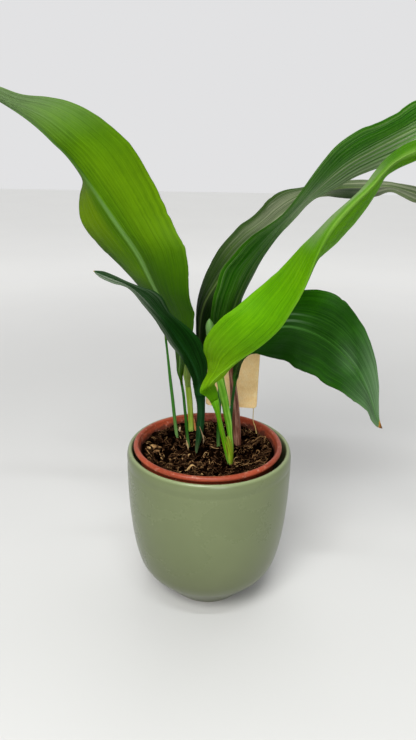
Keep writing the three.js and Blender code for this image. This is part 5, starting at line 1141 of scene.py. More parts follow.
# patch at the blade's base: painted shade where its colour is dark (rear left leaf), the paler base colour where it is
# light (back leaf)
base_tint_and_shade = lambda a_, b_, k_: (lambda fs, fr, fx, side: np.clip(smoothstep(b_, a_, fs) * k_, 0, 1))


# painted shade: dark at the base and in a band over the right half further out
def shade_rear_right(fs, fr, fx, side):
    low = smoothstep(0.27, 0.15, fs)
    mid = smoothstep(0.42, 0.24, fs) * 0.35
    far = smoothstep(0.60, 0.66, fs) * (1 - smoothstep(0.76, 0.83, fs)) * smoothstep(-0.15, 0.25, fx) * 0.95
    return np.clip(np.maximum.reduce([low, mid, far]), 0, 1)


# painted sheen: greyish highlight over the waist and the far part, in stripes, held back where the painted shade band
# lies
def grey_rear_right(fs, fr, fx, side):
    waist = bell(fs, 0.50, 0.12) * smoothstep(-0.85, -0.55, fx) * 0.75
    far = smoothstep(0.62, 0.78, fs) * (0.62 + 0.30 * np.sin(fx * 13))
    far = far * (1 - 0.85 * bell(fs, 0.69, 0.07) * smoothstep(-0.1, 0.3, fx))
    return np.clip(np.maximum(waist, far), 0, 1)


# painted shade: along the crease by the midrib, at the base, and in stripes between the ridges further out
def shade_tall(fs, fr, fx, side):
    crease = np.exp(-(((fr - 1.5) / 1.3) ** 2)) * smoothstep(0.42, 0.5, fs) * 0.75
    heart = smoothstep(0.34, 0.1, fs) * (0.85 - 0.5 * smoothstep(0.2, 0.7, fx))
    low = (fx > 0.05) * smoothstep(0.5, 0.6, fs) * (0.30 + 0.35 * np.sin(fx * 31 + 1))
    return np.clip(np.maximum.reduce([crease, heart, low]), 0, 1)


# painted sheen: greyish highlight at the waist, pale highlight lines on the ridges further out, and a grey band along
# the right margin
def grey_tall(fs, fr, fx, side):
    waist = bell(fs, 0.49, 0.07) * 0.6 * smoothstep(-1.2, 0.2, fx)
    low = smoothstep(0.5, 0.62, fs) * smoothstep(-0.35, 0.1, fx) * np.clip(0.42 + 0.35 * np.sin(fx * 38), 0, 1)
    edge_ = smoothstep(0.25, 0.8, fx) * smoothstep(0.12, 0.25, fs) * 0.55
    return np.clip(np.maximum(waist + low, edge_), 0, 1)


def warm_front(fs, fr, fx, side):
    """Yellower where the blade gathers into its stalk."""
    return np.clip(smoothstep(0.36, 0.08, fs) * (0.85 - 0.35 * smoothstep(0.12, 0.04, fs) * (fx > 0.1)) * (0.15 + 0.85 * smoothstep(0.03, 0.10, fs)), 0, 1)


# painted highlight on the strip of the turned margin
def grey_front(fs, fr, fx, side):
    strip = smoothstep(0.05, 0.35, -fx) * smoothstep(0.60, 0.70, fs) * (1 - smoothstep(0.84, 0.90, fs)) * 0.75
    return np.clip(strip, 0, 1)


# painted shade: the far end where the blade turns away, a band beside the midrib, and the foot of the blade
def shade_front(fs, fr, fx, side):
    end = smoothstep(0.83, 0.90, fs) * (0.85 - 0.5 * smoothstep(0.0, 0.6, fx))
    centre = np.exp(-(((fr - 4.0) / 2.4) ** 2)) * smoothstep(0.22, 0.3, fs) * (1 - smoothstep(0.5, 0.6, fs)) * 0.35
    return np.maximum(np.clip(np.maximum(end, centre), 0, 1), 0.6 * (1 - smoothstep(0.02, 0.075, fs)))


def mid_front(fs, fr, fx, side):
    w = 1.0 + 0.8 * smoothstep(0.5, 0.7, fs)
    return np.exp(-((fr / w) ** 2)) * (0.10 + 0.25 * smoothstep(0.60, 0.72, fs)) * smoothstep(0.03, 0.1, fs)


# painted shade: the blade darkens toward its base
def shade_droop(fs, fr, fx, side):
    return np.clip(smoothstep(0.62, 0.36, fs) * 0.85, 0, 1)


# painted sheen: a fan of highlights near the base, a soft highlight patch, and greyish sheen over the far end
def grey_droop(fs, fr, fx, side):
    fan = np.clip(np.sin(fx * 34 + fs * 3), 0, 1) * bell(fs, 0.38, 0.09) * smoothstep(-0.6, -0.3, fx) * smoothstep(0.1, -0.05, fx) * 0.27
    patch = bell(fs, 0.70, 0.06) * bell(fx, 0.0, 0.35) * 0.22
    sheen = smoothstep(0.66, 0.95, fs) * (0.50 + 0.16 * smoothstep(-0.3, -0.9, fx))
    return np.clip(np.maximum.reduce([fan, patch, sheen]), 0, 1)


# painted sheen: greyish striped sheen over the lower margin and the outer part of the blade
def grey_front_left(fs, fr, fx, side):
    edge_ = smoothstep(-0.55, -0.9, fx) * smoothstep(0.2, 0.35, fs) * 0.35
    return np.clip(np.maximum(edge_, smoothstep(0.45, 0.8, fs) * (0.25 + 0.75 * (fx < 0)) * (0.50 + 0.4 * np.sin(fx * 26))), 0, 1)


# In each look the first paint colour is painted shade (a paler base on the back leaf, a yellower foot on the front
# leaf), the second painted sheen, the third painted light on the left leaf and painted shade on the front leaf.
LEAF_LOOKS = {
    "left_leaf": dict(
        slot="bright_leaf", seed=3, dark="#345800", mid="#487200", light="#588400", vein="#62900a", midrib="#6d9452", edge="#8fae20",
        back="#7f9f52", glow="#7cac00", line_low=1.0, through=0.22, rough=0.50, spec=0.06, pleat=0.17, lines=0.7, relief=0.12, light_and_shade_fn=warm_left, light_and_shade_col="#6f8e00", ripple=0.8, undulate=0.9, jag=0.9, midfn=mid_left, camber=0.05,
        paint_a="#1d4400", sheen_col="#6f8460", sheen_floor=0.6, paintfn=shade_left, sheen_fn=grey_left, half=60, n_blade=210, tip_wear=0.2, fibre=0.45, line=0.35),
    "front_left_leaf": dict(
        slot="dark_leaf", seed=5, dark="#031c00", mid="#072b03", light="#0f3d06", vein="#1f4f16", midrib="#2a5730", edge="#2f5626",
        back="#2c5230", glow="#3f7a20", through=0.05, rough=0.50, spec=0.05, pleat=0.26, ripple=0.6, undulate=0.5, half=44, n_blade=150, mid_amt=0.4,
        sheen_col="#a4ae9c", sheen_fn=grey_front_left, sheen_floor=0.1, tip_wear=0.8, fibre=0.5, line=0.45),
    "rear_right_leaf": dict(
        slot="dark_leaf", seed=7, dark="#102b00", mid="#203e02", light="#33520a", vein="#506a26", midrib="#6e8248", edge="#57702c",
        back="#5f7258", glow="#5f8a0c", through=0.12, rough=0.58, spec=0.04, back_mix=0.3, pleat=0.30, jag=1.0, relief=0.2, ripple=1.3, undulate=0.9, half=54, n_blade=200,
        paint_a="#041800", sheen_col="#84896f", sheen_floor=0.4, paintfn=shade_rear_right, sheen_fn=grey_rear_right, fibre=0.6, line=0.5, line_col="#8f987a"),
    "tall_right_leaf": dict(
        slot="dark_leaf", seed=11, dark="#154a00", mid="#276400", light="#3f7e04", vein="#66953a", midrib="#7fa354", edge="#6f9030",
        back="#5d8248", glow="#7cb008", through=0.17, rough=0.50, spec=0.05, line_low=0.3, pleat=0.46, ripple=0.9, undulate=0.9, jag=0.8, half=60, n_blade=210,
        paint_a="#0a2c00", sheen_col="#a3b48c", sheen_floor=0.3, paintfn=shade_tall, sheen_fn=grey_tall, fibre=0.65, line=0.65, line_col="#a4b88a"),
    "front_leaf": dict(
        slot="bright_leaf", seed=13, dark="#3f7600", mid="#539000", light="#66a200", vein="#76ae0c", midrib="#a9cc70", edge="#9cc83a",
        back="#86b04c", glow="#92c400", through=0.22, rough=0.48, spec=0.06, relief=0.2, gather=2.6, pleat=0.24, pleat_freq=0.26, ripple=0.7, undulate=0.8, half=60, n_blade=260,
        paint_a="#7aa80a", sheen_col="#8ba072", light_and_shade_col="#356a00", sheen_floor=0.6, paintfn=warm_front, midfn=mid_front, sheen_fn=grey_front, light_and_shade_fn=shade_front,
        depth_cap=1.9, thin_by=0.014, tip_wear=0.3, fibre=0.45, line=0.4),
    "drooping_leaf": dict(
        slot="dark_leaf", seed=17, dark="#092c00", mid="#143f00", light="#255a02", vein="#356c14", midrib="#3f7426", edge="#4c7a28",
        back="#486a3c", glow="#5c9a08", through=0.13, rough=0.46, spec=0.06, pleat=0.24, relief=0.15, jag=0.8, ripple=1.4, undulate=0.8, half=54, n_blade=200,
        paint_a="#0a2c00", sheen_col="#86a57e", sheen_floor=0.55, paintfn=shade_droop, sheen_fn=grey_droop, fibre=0.5, line=0.4,
        tip_wear=1.0, wearfn=lambda fs, fr, fx: smoothstep(0.955, 0.992, fs)),
    "rear_left_leaf": dict(
        slot="dark_leaf", seed=19, dark="#245a00", mid="#357400", light="#4a8c04", vein="#709e28", midrib="#86aa48", edge="#8fa830",
        back="#6b9048", glow="#86c008", through=0.22, rough=0.44, spec=0.10, pleat=0.32, ripple=0.6, undulate=0.7, half=44, n_blade=150,
        paint_a="#143404", paintfn=base_tint_and_shade(0.08, 0.3, 0.8)),
    "back_leaf": dict(
        slot="dark_leaf", seed=23, dark="#1a4604", mid="#2a6006", light="#3e7a0c", vein="#64923a", midrib="#80a34c", edge="#7f9a30",
        back="#52774a", glow="#74b008", through=0.18, rough=0.42, spec=0.12, pleat=0.32, ripple=0.7, undulate=0.8, half=46, n_blade=150,
        paint_a="#9db04c", paintfn=base_tint_and_shade(0.02, 0.16, 0.75)),
}
STALK_LOOKS = {
    "left_leaf": ("#123d0a", "#1f5210", "#47772c"),
    "front_left_leaf": ("#07260c", "#103516", "#2f5a34"),
    "rear_right_leaf": ("#0f3409", "#1c4a10", "#446a30"),
    "tall_right_leaf": ("#15420c", "#235814", "#4c7a34"),
    "front_leaf": ("#336c00", "#4c8a00", "#6ea414"),
    "drooping_leaf": ("#0e360c", "#194a14", "#40703a"),
    "rear_left_leaf": ("#17480c", "#256012", "#4f8030"),
    "back_leaf": ("#6c8a1c", "#8aa434", "#b4c068"),
}


def stalk_material(name, dark, mid, pale, base="#9fb07a", blush="#7d4a2a", blush_amt=0.0, freq=0.2):
    """Smooth living stalk with fine lengthways stripes, paler near the soil."""
    n = Nodes(name)
    lx = n.separate(n.attr("leaf"))
    ft = n.separate(n.attr("feat"))
    line = n.noise(n.combine(n.math("MULTIPLY", lx[0], 5.0), n.math("MULTIPLY", lx[1], 1.6), n.math("MULTIPLY", lx[2], freq)), 1.0, 4, 0.6)
    blot = n.noise(n.obj_coords(), 70.0, 3, 0.6)
    t = n.math("ADD", n.math("MULTIPLY", line, 0.8), n.math("MULTIPLY", blot, 0.25))
    col = n.ramp(t, [(0.36, srgb(dark)), (0.53, srgb(mid)), (0.72, srgb(pale))])
    foot = n.math("MULTIPLY", ft[2], n.map(line, 0.3, 0.7, 0.05, 0.4))
    col = n.mix(foot, col, srgb(base))
    if blush_amt:
        red = n.math("MULTIPLY", n.map(line, 0.5, 0.62, 0.0, 1.0, True), n.math("MULTIPLY", ft[1], blush_amt))
        col = n.mix(red, col, srgb(blush))
    fleck = n.voronoi(n.obj_coords(), 420.0)
    col = n.mix(n.map(fleck, 0.05, 0.12, 0.35, 0.0, True), col, srgb(dark))
    bump = n.bump(line, 0.35, 0.0003)
    sh = n.principled(col, n.map(blot, 0.3, 0.7, 0.34, 0.46), bump, 0.16)
    return n.done(sh.outputs[0])


for leaf_name, cfg in LEAF_LOOKS.items():
    stalk_rows, blade_rows = LEAF_ROWS[leaf_name]
    blade_ob, stalk_ob, blade_len = make_leaf(leaf_name, stalk_rows, blade_rows, cfg)
    piece(blade_ob, leaf_material(leaf_name + "_green", dict(cfg, length=blade_len)), [leaf_name + "_blade"])
    extra = dict(blush_amt=0.8) if leaf_name == "front_leaf" else {}
    piece(stalk_ob, stalk_material(leaf_name + "_stem", *STALK_LOOKS[leaf_name], **extra), [leaf_name + "_stalk"])


# ------------------------------------------------------------------ rolled young leaf, dry sheath, dead bits


def strip_frames(rows, n):
    A = np.asarray(rows, float).reshape(-1, 3, 3)
    t, length, u = arc_resample(lambda q: catmull(A[:, 1], q), n)
    L, M, R = (catmull(A[:, k], t) for k in range(3))
    along = np.gradient(M, axis=0)
    along /= np.linalg.norm(along, axis=1, keepdims=True)
    across = R - L
    width = np.linalg.norm(across, axis=1)
    across = across - along * np.sum(across * along, axis=1, keepdims=True)
    across /= np.maximum(np.linalg.norm(across, axis=1, keepdims=True), 1e-9)
    normal = np.cross(across, along)
    return M, across, normal, width, u, length


def leaf_attrs(ob, x, s, rho, mid=None, margin=None, wear=None):
    n = len(ob.data.vertices)
    pad = lambda a: np.r_[np.asarray(a, float).ravel(), np.zeros(n - np.asarray(a).size)]
    s = np.asarray(s, float)
    ss = pad(s)
    ss[-1] = s.ravel()[-1]
    ss[-2] = s.ravel()[0]
    z = np.zeros(n)
    point_attr(ob, "leaf", np.stack([pad(x), ss, pad(rho)], -1), "FLOAT_VECTOR")
    point_attr(ob, "feat", np.stack([pad(mid) if mid is not None else z, pad(margin) if margin is not None else z, pad(wear) if wear is not None else z], -1), "FLOAT_VECTOR")


def make_shoot():
    """Young leaf still rolled up: a spiral wrap whose outer edge shows as a seam."""
    M, ac, no, w, u, length = strip_frames(YOUNG_SHOOT, 130)
    m = 72
    turn = np.linspace(0, 1, m, endpoint=False)
    seam = 0.62 + 0.10 * np.sin(u * 5.0) - 0.16 * u
    rings = np.zeros((len(u), m, 3))
    X = np.zeros((len(u), m))
    for i in range(len(u)):
        a = 2 * np.pi * turn
        g = (turn - seam[i]) % 1.0
        step = 1 + 0.13 * (g - 0.5) * smoothstep(0.05, 0.25, u[i]) + 0.055 * np.exp(-g / 0.03) * smoothstep(0.05, 0.2, u[i])
        rib = 1 + 0.012 * np.sin(2 * np.pi * g * 17) + 0.01 * value_noise2(turn * 30, u[i] * 30 + 0 * turn, 71, 2)
        r = w[i] / 2 * step * rib
        r = r * (1.0 if u[i] < 0.97 else math.sqrt(max(0.02, 1 - ((u[i] - 0.97) / 0.03) ** 2)))
        wob = 0.25 * value_noise(np.array([u[i] * 9]), 77)[0]
        rings[i] = M[i] + ac[i] * wob + np.outer(r * -np.cos(a), ac[i]) + np.outer(r * 0.92 * np.sin(a), no[i])
        X[i] = g
    ob = closed_tube("young_rolled_leaf", rings)
    leaf_attrs(ob, X * 2 - 1, np.repeat(u[:, None], m, 1), X * 26, wear=np.repeat(smoothstep(0.16, 0.02, u)[:, None], m, 1), margin=np.exp(-X / 0.02) * smoothstep(0.05, 0.2, u)[:, None], mid=np.repeat(smoothstep(0.72, 0.95, u)[:, None], m, 1))
    return ob


def shoot_material():
    n = Nodes("rolled_leaf_green")
    lx = n.separate(n.attr("leaf"))
    ft = n.separate(n.attr("feat"))
    line = n.noise(n.combine(n.math("MULTIPLY", lx[2], 1.0), n.math("MULTIPLY", lx[1], 2.0), 1.7), 1.0, 4, 0.6)
    blot = n.noise(n.obj_coords(), 60.0, 3, 0.6)
    t = n.math("ADD", n.math("MULTIPLY", line, 0.7), n.math("MULTIPLY", blot, 0.3))
    col = n.ramp(t, [(0.38, srgb("#3f7c04")), (0.50, srgb("#62a01a")), (0.64, srgb("#9cc656"))])
    col = n.mix(n.math("MULTIPLY", ft[0], 0.75), col, srgb("#5c7e4c"))
    col = n.mix(n.math("MULTIPLY", ft[1], 0.75), col, srgb("#4c7a18"))
    col = n.mix(n.math("MULTIPLY", ft[2], 0.8), col, srgb("#c3cf86"))
    bump = n.bump(line, 0.4, 0.0004)
    sh = n.principled(col, n.map(blot, 0.3, 0.7, 0.36, 0.48), bump, 0.2)
    tr = n.new("ShaderNodeBsdfTranslucent")
    n.link(n.mix(0.5, col, srgb("#b4e02a")), tr.inputs["Color"])
    mx = n.new("ShaderNodeMixShader")
    mx.inputs[0].default_value = 0.15
    n.link(sh.outputs[0], mx.inputs[1])
    n.link(tr.outputs[0], mx.inputs[2])
    return n.done(mx.outputs[0])


def curled_strip(name, rows, n, half, thick, curl, seed, rib=0.0, rib_n=9, ragged=0.0, waist=0.0):
    """Thin dry strip whose margins roll back by curl (radians from the middle to each margin)."""
    M, ac, no, w, u, length = strip_frames(rows, n)
    x = np.linspace(-1, 1, 2 * half + 1)
    F = np.zeros((n, len(x), 3))
    K = np.zeros_like(F)
    for i in range(n):
        c = max(curl * (0.75 + 0.25 * math.sin(u[i] * 7 + seed)), 0.05)
        c = min(c, 2.9)
        r = (w[i] / 2) / math.sin(min(c, math.pi / 2))
        a = x * c
        px = r * np.sin(a)
        pz = r * (np.cos(a) - math.cos(min(c, math.pi / 2)))
        ribz = rib * np.cos(x * math.pi * rib_n) + 0.4 * rib * value_noise2(x * 14, u[i] * 12 + 0 * x, seed, 2)
        wob = 0.10 * w[i] * value_noise2(x * 2 + 9, u[i] * 6 + 0 * x, seed + 3, 2)
        nx, nz = np.sin(a), np.cos(a)
        base = M[i] + np.outer(px, ac[i]) + np.outer(pz - 0.3 * w[i] * 0.3 + wob, no[i])
        nn = np.outer(nx, ac[i]) + np.outer(nz, no[i])
        er = np.sqrt(np.clip(1 - np.abs(x) ** 12, 0, 1))[:, None]
        F[i] = base + nn * (thick / 2 * er + ribz[:, None] * er)
        K[i] = base - nn * (thick / 2 * er - 0.6 * ribz[:, None] * er)
    if ragged:
        pull = ragged * (value_noise(x * 3.1 + 20, seed + 8, 3) + 0.4 * np.abs(x))
        end = smoothstep(0.8, 1.0, u)[:, None]
        along = np.gradient(M, axis=0)
        along /= np.linalg.norm(along, axis=1, keepdims=True)
        F += (pull[None, :] * end)[..., None] * along[:, None, :]
        K += (pull[None, :] * end)[..., None] * along[:, None, :]
    rings = np.concatenate([F, K[:, -2:0:-1]], axis=1)
    ob = closed_tube(name, rings)
    xx = np.r_[x, x[-2:0:-1]]
    X = np.broadcast_to(xx, (n, len(xx)))
    leaf_attrs(ob, X, np.repeat(u[:, None], len(xx), 1), X * np.repeat(w[:, None], len(xx), 1) * 1.4, wear=np.repeat(smoothstep(0.1, 0.0, u)[:, None], len(xx), 1))
    return ob


piece(make_shoot(), shoot_material(), ["young_shoot"])


def make_foot():
    """Closed basal sheath that wraps the feet of the front stalk and of the rolled leaf, open and slanted at its top."""
    M, ac, no, w, u, length = strip_frames(SHOOT_FOOT, 60)
    m = 56
    a = np.linspace(0, 2 * np.pi, m, endpoint=False)
    rings = np.zeros((len(u), m, 3))
    for i in range(len(u)):
        rib = 1 + 0.035 * np.cos(a * 11 + 0.6) + 0.02 * value_noise2(a * 3, u[i] * 8 + 0 * a, 91, 2)
        open_ = 1 - 0.30 * float(smoothstep(0.8, 1.0, u[i]))
        rx = w[i] / 2 * rib * 0.90 * (1 - 0.12 * float(smoothstep(0.85, 1.0, u[i])))
        rz = min(w[i] / 2, 2.4) * rib * open_
        rings[i] = M[i] + np.outer(-rx * np.cos(a), ac[i]) + np.outer(rz * np.sin(a) - 0.5 * open_, no[i])
    top = smoothstep(0.82, 1.0, u)[:, None] * value_noise(a * 2.2, 93, 2)[None, :] * 1.6
    along = np.gradient(M, axis=0)
    along /= np.linalg.norm(along, axis=1, keepdims=True)
    rings += top[..., None] * along[:, None, :]
    ob = closed_tube("shoot_foot_sheath", rings)
    X = np.broadcast_to(-np.cos(a), (len(u), m))
    leaf_attrs(ob, X, np.repeat(u[:, None], m, 1), np.broadcast_to(a * 3.2, (len(u), m)), margin=np.repeat(smoothstep(0.0, 0.2, u)[:, None], m, 1))
    return ob


def foot_material():
    n = Nodes("shoot_foot_husk")
    lx = n.separate(n.attr("leaf"))
    line = n.noise(n.combine(n.math("MULTIPLY", lx[2], 1.9), n.math("MULTIPLY", lx[1], 1.4), 3.1), 1.0, 3, 0.6)
    dry = n.noise(n.combine(n.math("MULTIPLY", lx[2], 1.3), n.math("MULTIPLY", lx[1], 1.0), 9.4), 1.0, 2, 0.5)
    base = n.ramp(line, [(0.36, srgb("#3c4e06")), (0.47, srgb("#62800e")), (0.57, srgb("#8aa226")), (0.68, srgb("#b2c05a"))])
    base = n.mix(n.map(dry, 0.55, 0.62, 0.0, 0.75, True), base, srgb("#5e3d1c"))
    foot = n.map(lx[1], 0.0, 0.45, 0.7, 0.0, True)
    base = n.mix(n.math("MULTIPLY", foot, n.map(line, 0.35, 0.6, 0.3, 1.0)), base, srgb("#b4bc6c"))
    bump = n.bump(line, 0.5, 0.0004)
    sh = n.principled(base, n.map(dry, 0.3, 0.7, 0.42, 0.55), bump, 0.15)
    return n.done(sh.outputs[0])


piece(make_foot(), foot_material())
wide = np.asarray(DRY_SHEATH, float).reshape(-1, 3, 3)
wide = wide[:, 1:2] + (wide - wide[:, 1:2]) * 1.18
sheath = curled_strip("dry_sheath_wrap", wide, 110, 30, 0.32, 2.0, 31, rib=0.22, rib_n=5, ragged=1.6)
piece(sheath, dry_material("sheath_brown", "#2b130c", "#6a3a28", "#c39c84"), ["dry_sheath"])

for key, cols, curl, seed in (
    ("dry_scale_left", ("#6b5233", "#a3875a", "#cdb88a"), 1.2, 41),
    ("dry_scale_front", ("#4c3a28", "#8a7252", "#c4b08c"), 1.3, 43),
    ("dry_scale_back", ("#7a3e1c", "#b06a36", "#d39a60"), 1.1, 47),
    ("cut_stub", ("#7c6546", "#b39a74", "#d8c8a4"), 2.2, 53),
):
    rows = np.asarray(BITS[key], float)
    if key != "dry_scale_front":
        rows = np.vstack([rows[:1] - np.array([[0, 0, 5] * 3]), rows])
    slim = {"dry_scale_front": 0.5, "dry_scale_left": 0.55}.get(key, 0.85)
    rows = rows.reshape(-1, 3, 3)
    rows = rows[:, 1:2] + (rows - rows[:, 1:2]) * slim
    ob = curled_strip(key + "_skin", rows, 44, 12, 0.24, curl, seed, rib=0.04, rib_n=3, ragged=0.9)
    piece(ob, dry_material(key + "_husk", *cols), [key])


# ------------------------------------------------------------------ tag and its stick


def make_tag():
    W, H, rc, th = 44.0, 53.0, 3.0, 0.6
    base = np.array([18.3, 33.0, 153.3])
    ax = np.array([44.52, 0, -2.53])
    ax /= np.linalg.norm(ax)
    upv = np.array([1.2, 2.5, 51.8])
    upv /= np.linalg.norm(upv)
    nv = np.cross(ax, upv)
    ys = np.r_[rc * (1 - np.cos(np.linspace(0.04, np.pi / 2, 12))), np.linspace(rc, H - rc, 60)[1:-1], H - rc * (1 - np.cos(np.linspace(np.pi / 2, 0.04, 12)))]
    rings = []
    m = 44
    q = np.linspace(-1, 1, m + 1)
    for y in ys:
        d = max(0.0, rc - y, y - (H - rc))
        hw = W / 2 - rc + math.sqrt(max(rc * rc - d * d, 0)) if d > 0 else W / 2
        er = 1.0 if 0.5 < y < H - 0.5 else 0.8
        x = q * hw
        bend = 0.55 * (x / (W / 2)) ** 2 - 0.35 * np.sin(np.pi * y / H) + 0.07 * value_noise2(x * 0.12 + 8, 0 * x + y * 0.1, 61, 2)
        P = base + np.outer(x, ax) + upv * y + np.outer(bend, nv)
        e = np.sqrt(np.clip(1 - np.abs(q) ** 40, 0, 1))[:, None] * er * th / 2
        F, K = P + nv * e, P - nv * e
        rings.append(np.vstack([F, K[-2:0:-1]]))
    return closed_tube("plant_tag_card", np.array(rings))


piece(make_tag(), card_material(), ["plant_tag"])

pts = np.asarray(BITS["stalk"], float)
tt = np.linspace(0, 1, 120)
cen = catmull(pts, tt)
tan = np.gradient(cen, axis=0)
tan /= np.linalg.norm(tan, axis=1, keepdims=True)
a1 = np.cross(tan, [0, 1, 0])
a1 /= np.linalg.norm(a1, axis=1, keepdims=True)
a2 = np.cross(tan, a1)
ang = np.linspace(0, 2 * np.pi, 14, endpoint=False)
rad = 0.34 * (1 + 0.12 * value_noise2(ang[None, :] * 2, tt[:, None] * 40, 67, 2))
ring = cen[:, None, :] + rad[..., None] * (np.cos(ang)[None, :, None] * a2[:, None, :] + np.sin(ang)[None, :, None] * a1[:, None, :])
stick = closed_tube("tag_stick", ring[:, ::-1])
X = np.broadcast_to(np.cos(ang), (120, 14))
leaf_attrs(stick, X, np.repeat(tt[:, None], 14, 1), np.broadcast_to(ang * 3, (120, 14)))
piece(stick, dry_material("stick_straw", "#8a7038", "#b59a58", "#d6c48a"), ["tag_stalk"])


# ------------------------------------------------------------------ cover pot

COVER = [(30, 0), (31.2, 0.5), (32.6, 2), (35.6, 5.2), (40, 10.4), (44.6, 15.2), (49.6, 20.4), (54.4, 26), (58.2, 33), (60.8, 42), (63.1, 54), (65, 70), (66.4, 88), (67.1, 112), (67.1, 129)]
outer = spline_profile(COVER, 120)
outer = outer[outer[:, 1] < 125.0]
outer[:, 0] -= 0.28 * bell(outer[:, 1], 122.0, 1.5)
lip = [(64.6 + 2.5 * math.cos(a), 126.2 + 7.0 * math.sin(a)) for a in np.linspace(-0.05, np.pi / 2, 22)]
lip += [(64.6 + 1.7 * math.cos(a), 131.5 + 1.7 * math.sin(a)) for a in np.linspace(np.pi / 2, np.pi, 9)[1:]]
inner_pts = []
for i in range(len(outer) - 2, 6, -4):
    d = outer[i + 1] - outer[i - 1]
    d /= np.linalg.norm(d)
    p = outer[i] + np.array([-d[1], d[0]]) * 4.2
    if p[1] > 9.0:
        inner_pts.append((p[0], p[1]))
floor_r = inner_pts[-1][0]
inner_pts += [(floor_r - 2.2, 7.0), (floor_r - 6, 6.05), (floor_r * 0.5, 6.0), (0.0, 6.0)]
foot = [(0.0, 0.6), (22.0, 0.6), (25.5, 0.5), (27.2, 0.05), (28.5, 0.0)]
profile = foot + [tuple(p) for p in outer] + lip + inner_pts
cover = lathe("glazed_cover_pot", profile, 224)
piece(cover, glaze_material(), ["cover_pot"])


# ------------------------------------------------------------------ nursery pot

CX, CY = -1.2, -2.0
grow_r = lambda z: 37.5 + 19.1 * (z - 16.5) / 118.2
prof = [(0, 18.0), (19, 18.0), (20.5, 17.8), (22.5, 16.6), (24, 16.5), (35.4, 16.5), (36.6, 16.8), (37.4, 17.7)]
prof += [(grow_r(z), z) for z in np.linspace(18.5, 131.6, 60)]
bead = [(57.9 + 2.1 * math.cos(a), 135.1 + 2.2 * math.sin(a)) for a in np.linspace(-2.3, math.pi * 1.02, 40)]
prof += bead
prof += [(grow_r(z) - 1.4, z) for z in np.linspace(134.0, 19.6, 60)]
prof += [(grow_r(18.5) - 2.2, 18.2), (24, 17.9), (22.5, 18.2), (20.5, 19.3), (19, 19.5), (0, 19.5)]
grow = lathe("terracotta_grow_pot", prof, 200, (CX, CY))
me = grow.data
co = np.zeros(len(me.vertices) * 3, np.float32)
me.vertices.foreach_get("co", co)
co = co.reshape(-1, 3) * 1000
r = np.hypot(co[:, 0] - CX, co[:, 1] - CY)
# the soft plastic rim isn't quite round or level
an = np.arctan2(co[:, 1] - CY, co[:, 0] - CX)
warp = smoothstep(118, 136, co[:, 2])
co[:, 2] += warp * (0.45 * np.sin(an * 2 + 0.6) + 0.25 * np.sin(an * 3 - 1.0))
co[:, 0] += warp * 0.25 * np.cos(2 * an) * np.cos(an)
co[:, 1] += warp * 0.25 * np.cos(2 * an) * np.sin(an)
me.vertices.foreach_set("co", (co / 1000).astype(np.float32).ravel())
me.update()
inside = smoothstep(0.6, 1.6, grow_r(np.clip(co[:, 2], 16.5, 136)) - r) * (co[:, 2] < 136.2)
point_attr(grow, "inner", inside)
piece(grow, terracotta_material(), ["nursery_pot"])


# ------------------------------------------------------------------ potting soil

rng = np.random.RandomState(2024)
SOIL_R = 53.7


def soil_height(x, y):
    """Height of the soil surface at (x, y), all mm."""
    x, y = np.asarray(x, float), np.asarray(y, float)
    rr = np.hypot(x - CX, y - CY) / SOIL_R
    edge = 1 - np.clip(rr, 0, 1) ** 4
    h = 124 + edge * (1.1 * np.sin(0.17 * x + 1.3) * np.cos(0.14 * y - 0.4) + 0.7 * np.sin(0.31 * x - 0.23 * y) + 0.6)
    h = h + 6.2 * smoothstep(0.62, 0.98, rr) + 1.0 * smoothstep(0.80, 0.98, rr) * np.clip(1.1 - (y - CY) / 40, 0, 1)
    h = h + 1.9 * value_noise2(x * 0.13 + 50, y * 0.13 + 50, 81, 3) + 1.2 * value_noise2(x * 0.42 + 90, y * 0.42 + 90, 82, 3)
    return h


def make_soil():
    seg, nr = 200, 74
    ang = np.linspace(0, 2 * np.pi, seg, endpoint=False)
    rr = SOIL_R * np.linspace(0, 1, nr + 1)[1:] ** 0.9
    verts, faces = [(CX, CY, soil_height(CX, CY) + 0)], []
    for rad_ in rr:
        x, y = CX + rad_ * np.cos(ang), CY + rad_ * np.sin(ang)
        verts += list(np.stack([x, y, soil_height(x, y)], 1))
    top_n = len(verts)
    for z in (118.0, 110.0, 60.0, 20.2):
        rb = min(SOIL_R, float(grow_r(z) - 2.1))
        verts += list(np.stack([CX + rb * np.cos(ang), CY + rb * np.sin(ang), np.full(seg, z)], 1))
    verts.append((CX, CY, 20.2))
    for k in range(seg):
        faces.append((0, 1 + k, 1 + (k + 1) % seg))
    for i in range(nr + 3):
        a, b = 1 + i * seg, 1 + (i + 1) * seg
        for k in range(seg):
            k2 = (k + 1) % seg
            faces.append((a + k, b + k, b + k2, a + k2))
    last = 1 + (nr + 3) * seg
    for k in range(seg):
        faces.append((last + (k + 1) % seg, last + k, len(verts) - 1))
    ob = obj_from("soil_bed", np.array(verts, float) * MM, faces)
    v = np.array(verts, float)
    point_attr(ob, "tone", np.clip(0.17 + 0.20 * value_noise2(v[:, 0] * 0.30 + 70, v[:, 1] * 0.30 + 70, 83, 3), 0, 1))
    return ob


SOIL_STOPS = [(0.0, srgb("#010000")), (0.22, srgb("#0c0502")), (0.42, srgb("#24160d")), (0.62, srgb("#523926")), (0.80, srgb("#937049")), (1.0, srgb("#ccaa74"))]
piece(make_soil(), soil_material("soil_dark", SOIL_STOPS), ["soil"])


class Heap:
    """Gathers many small closed bits into one mesh."""

    def __init__(self):
        self.v, self.f, self.tone, self.n = [], [], [], 0

    def add(self, verts, faces, tone):
        self.v.append(verts)
        self.f += [tuple(i + self.n for i in f) for f in faces]
        self.tone += [tone] * len(verts)
        self.n += len(verts)

    def done(self, name, smooth=True):
        ob = obj_from(name, np.vstack(self.v) * MM, self.f, smooth)
        point_attr(ob, "tone", self.tone)
        return ob


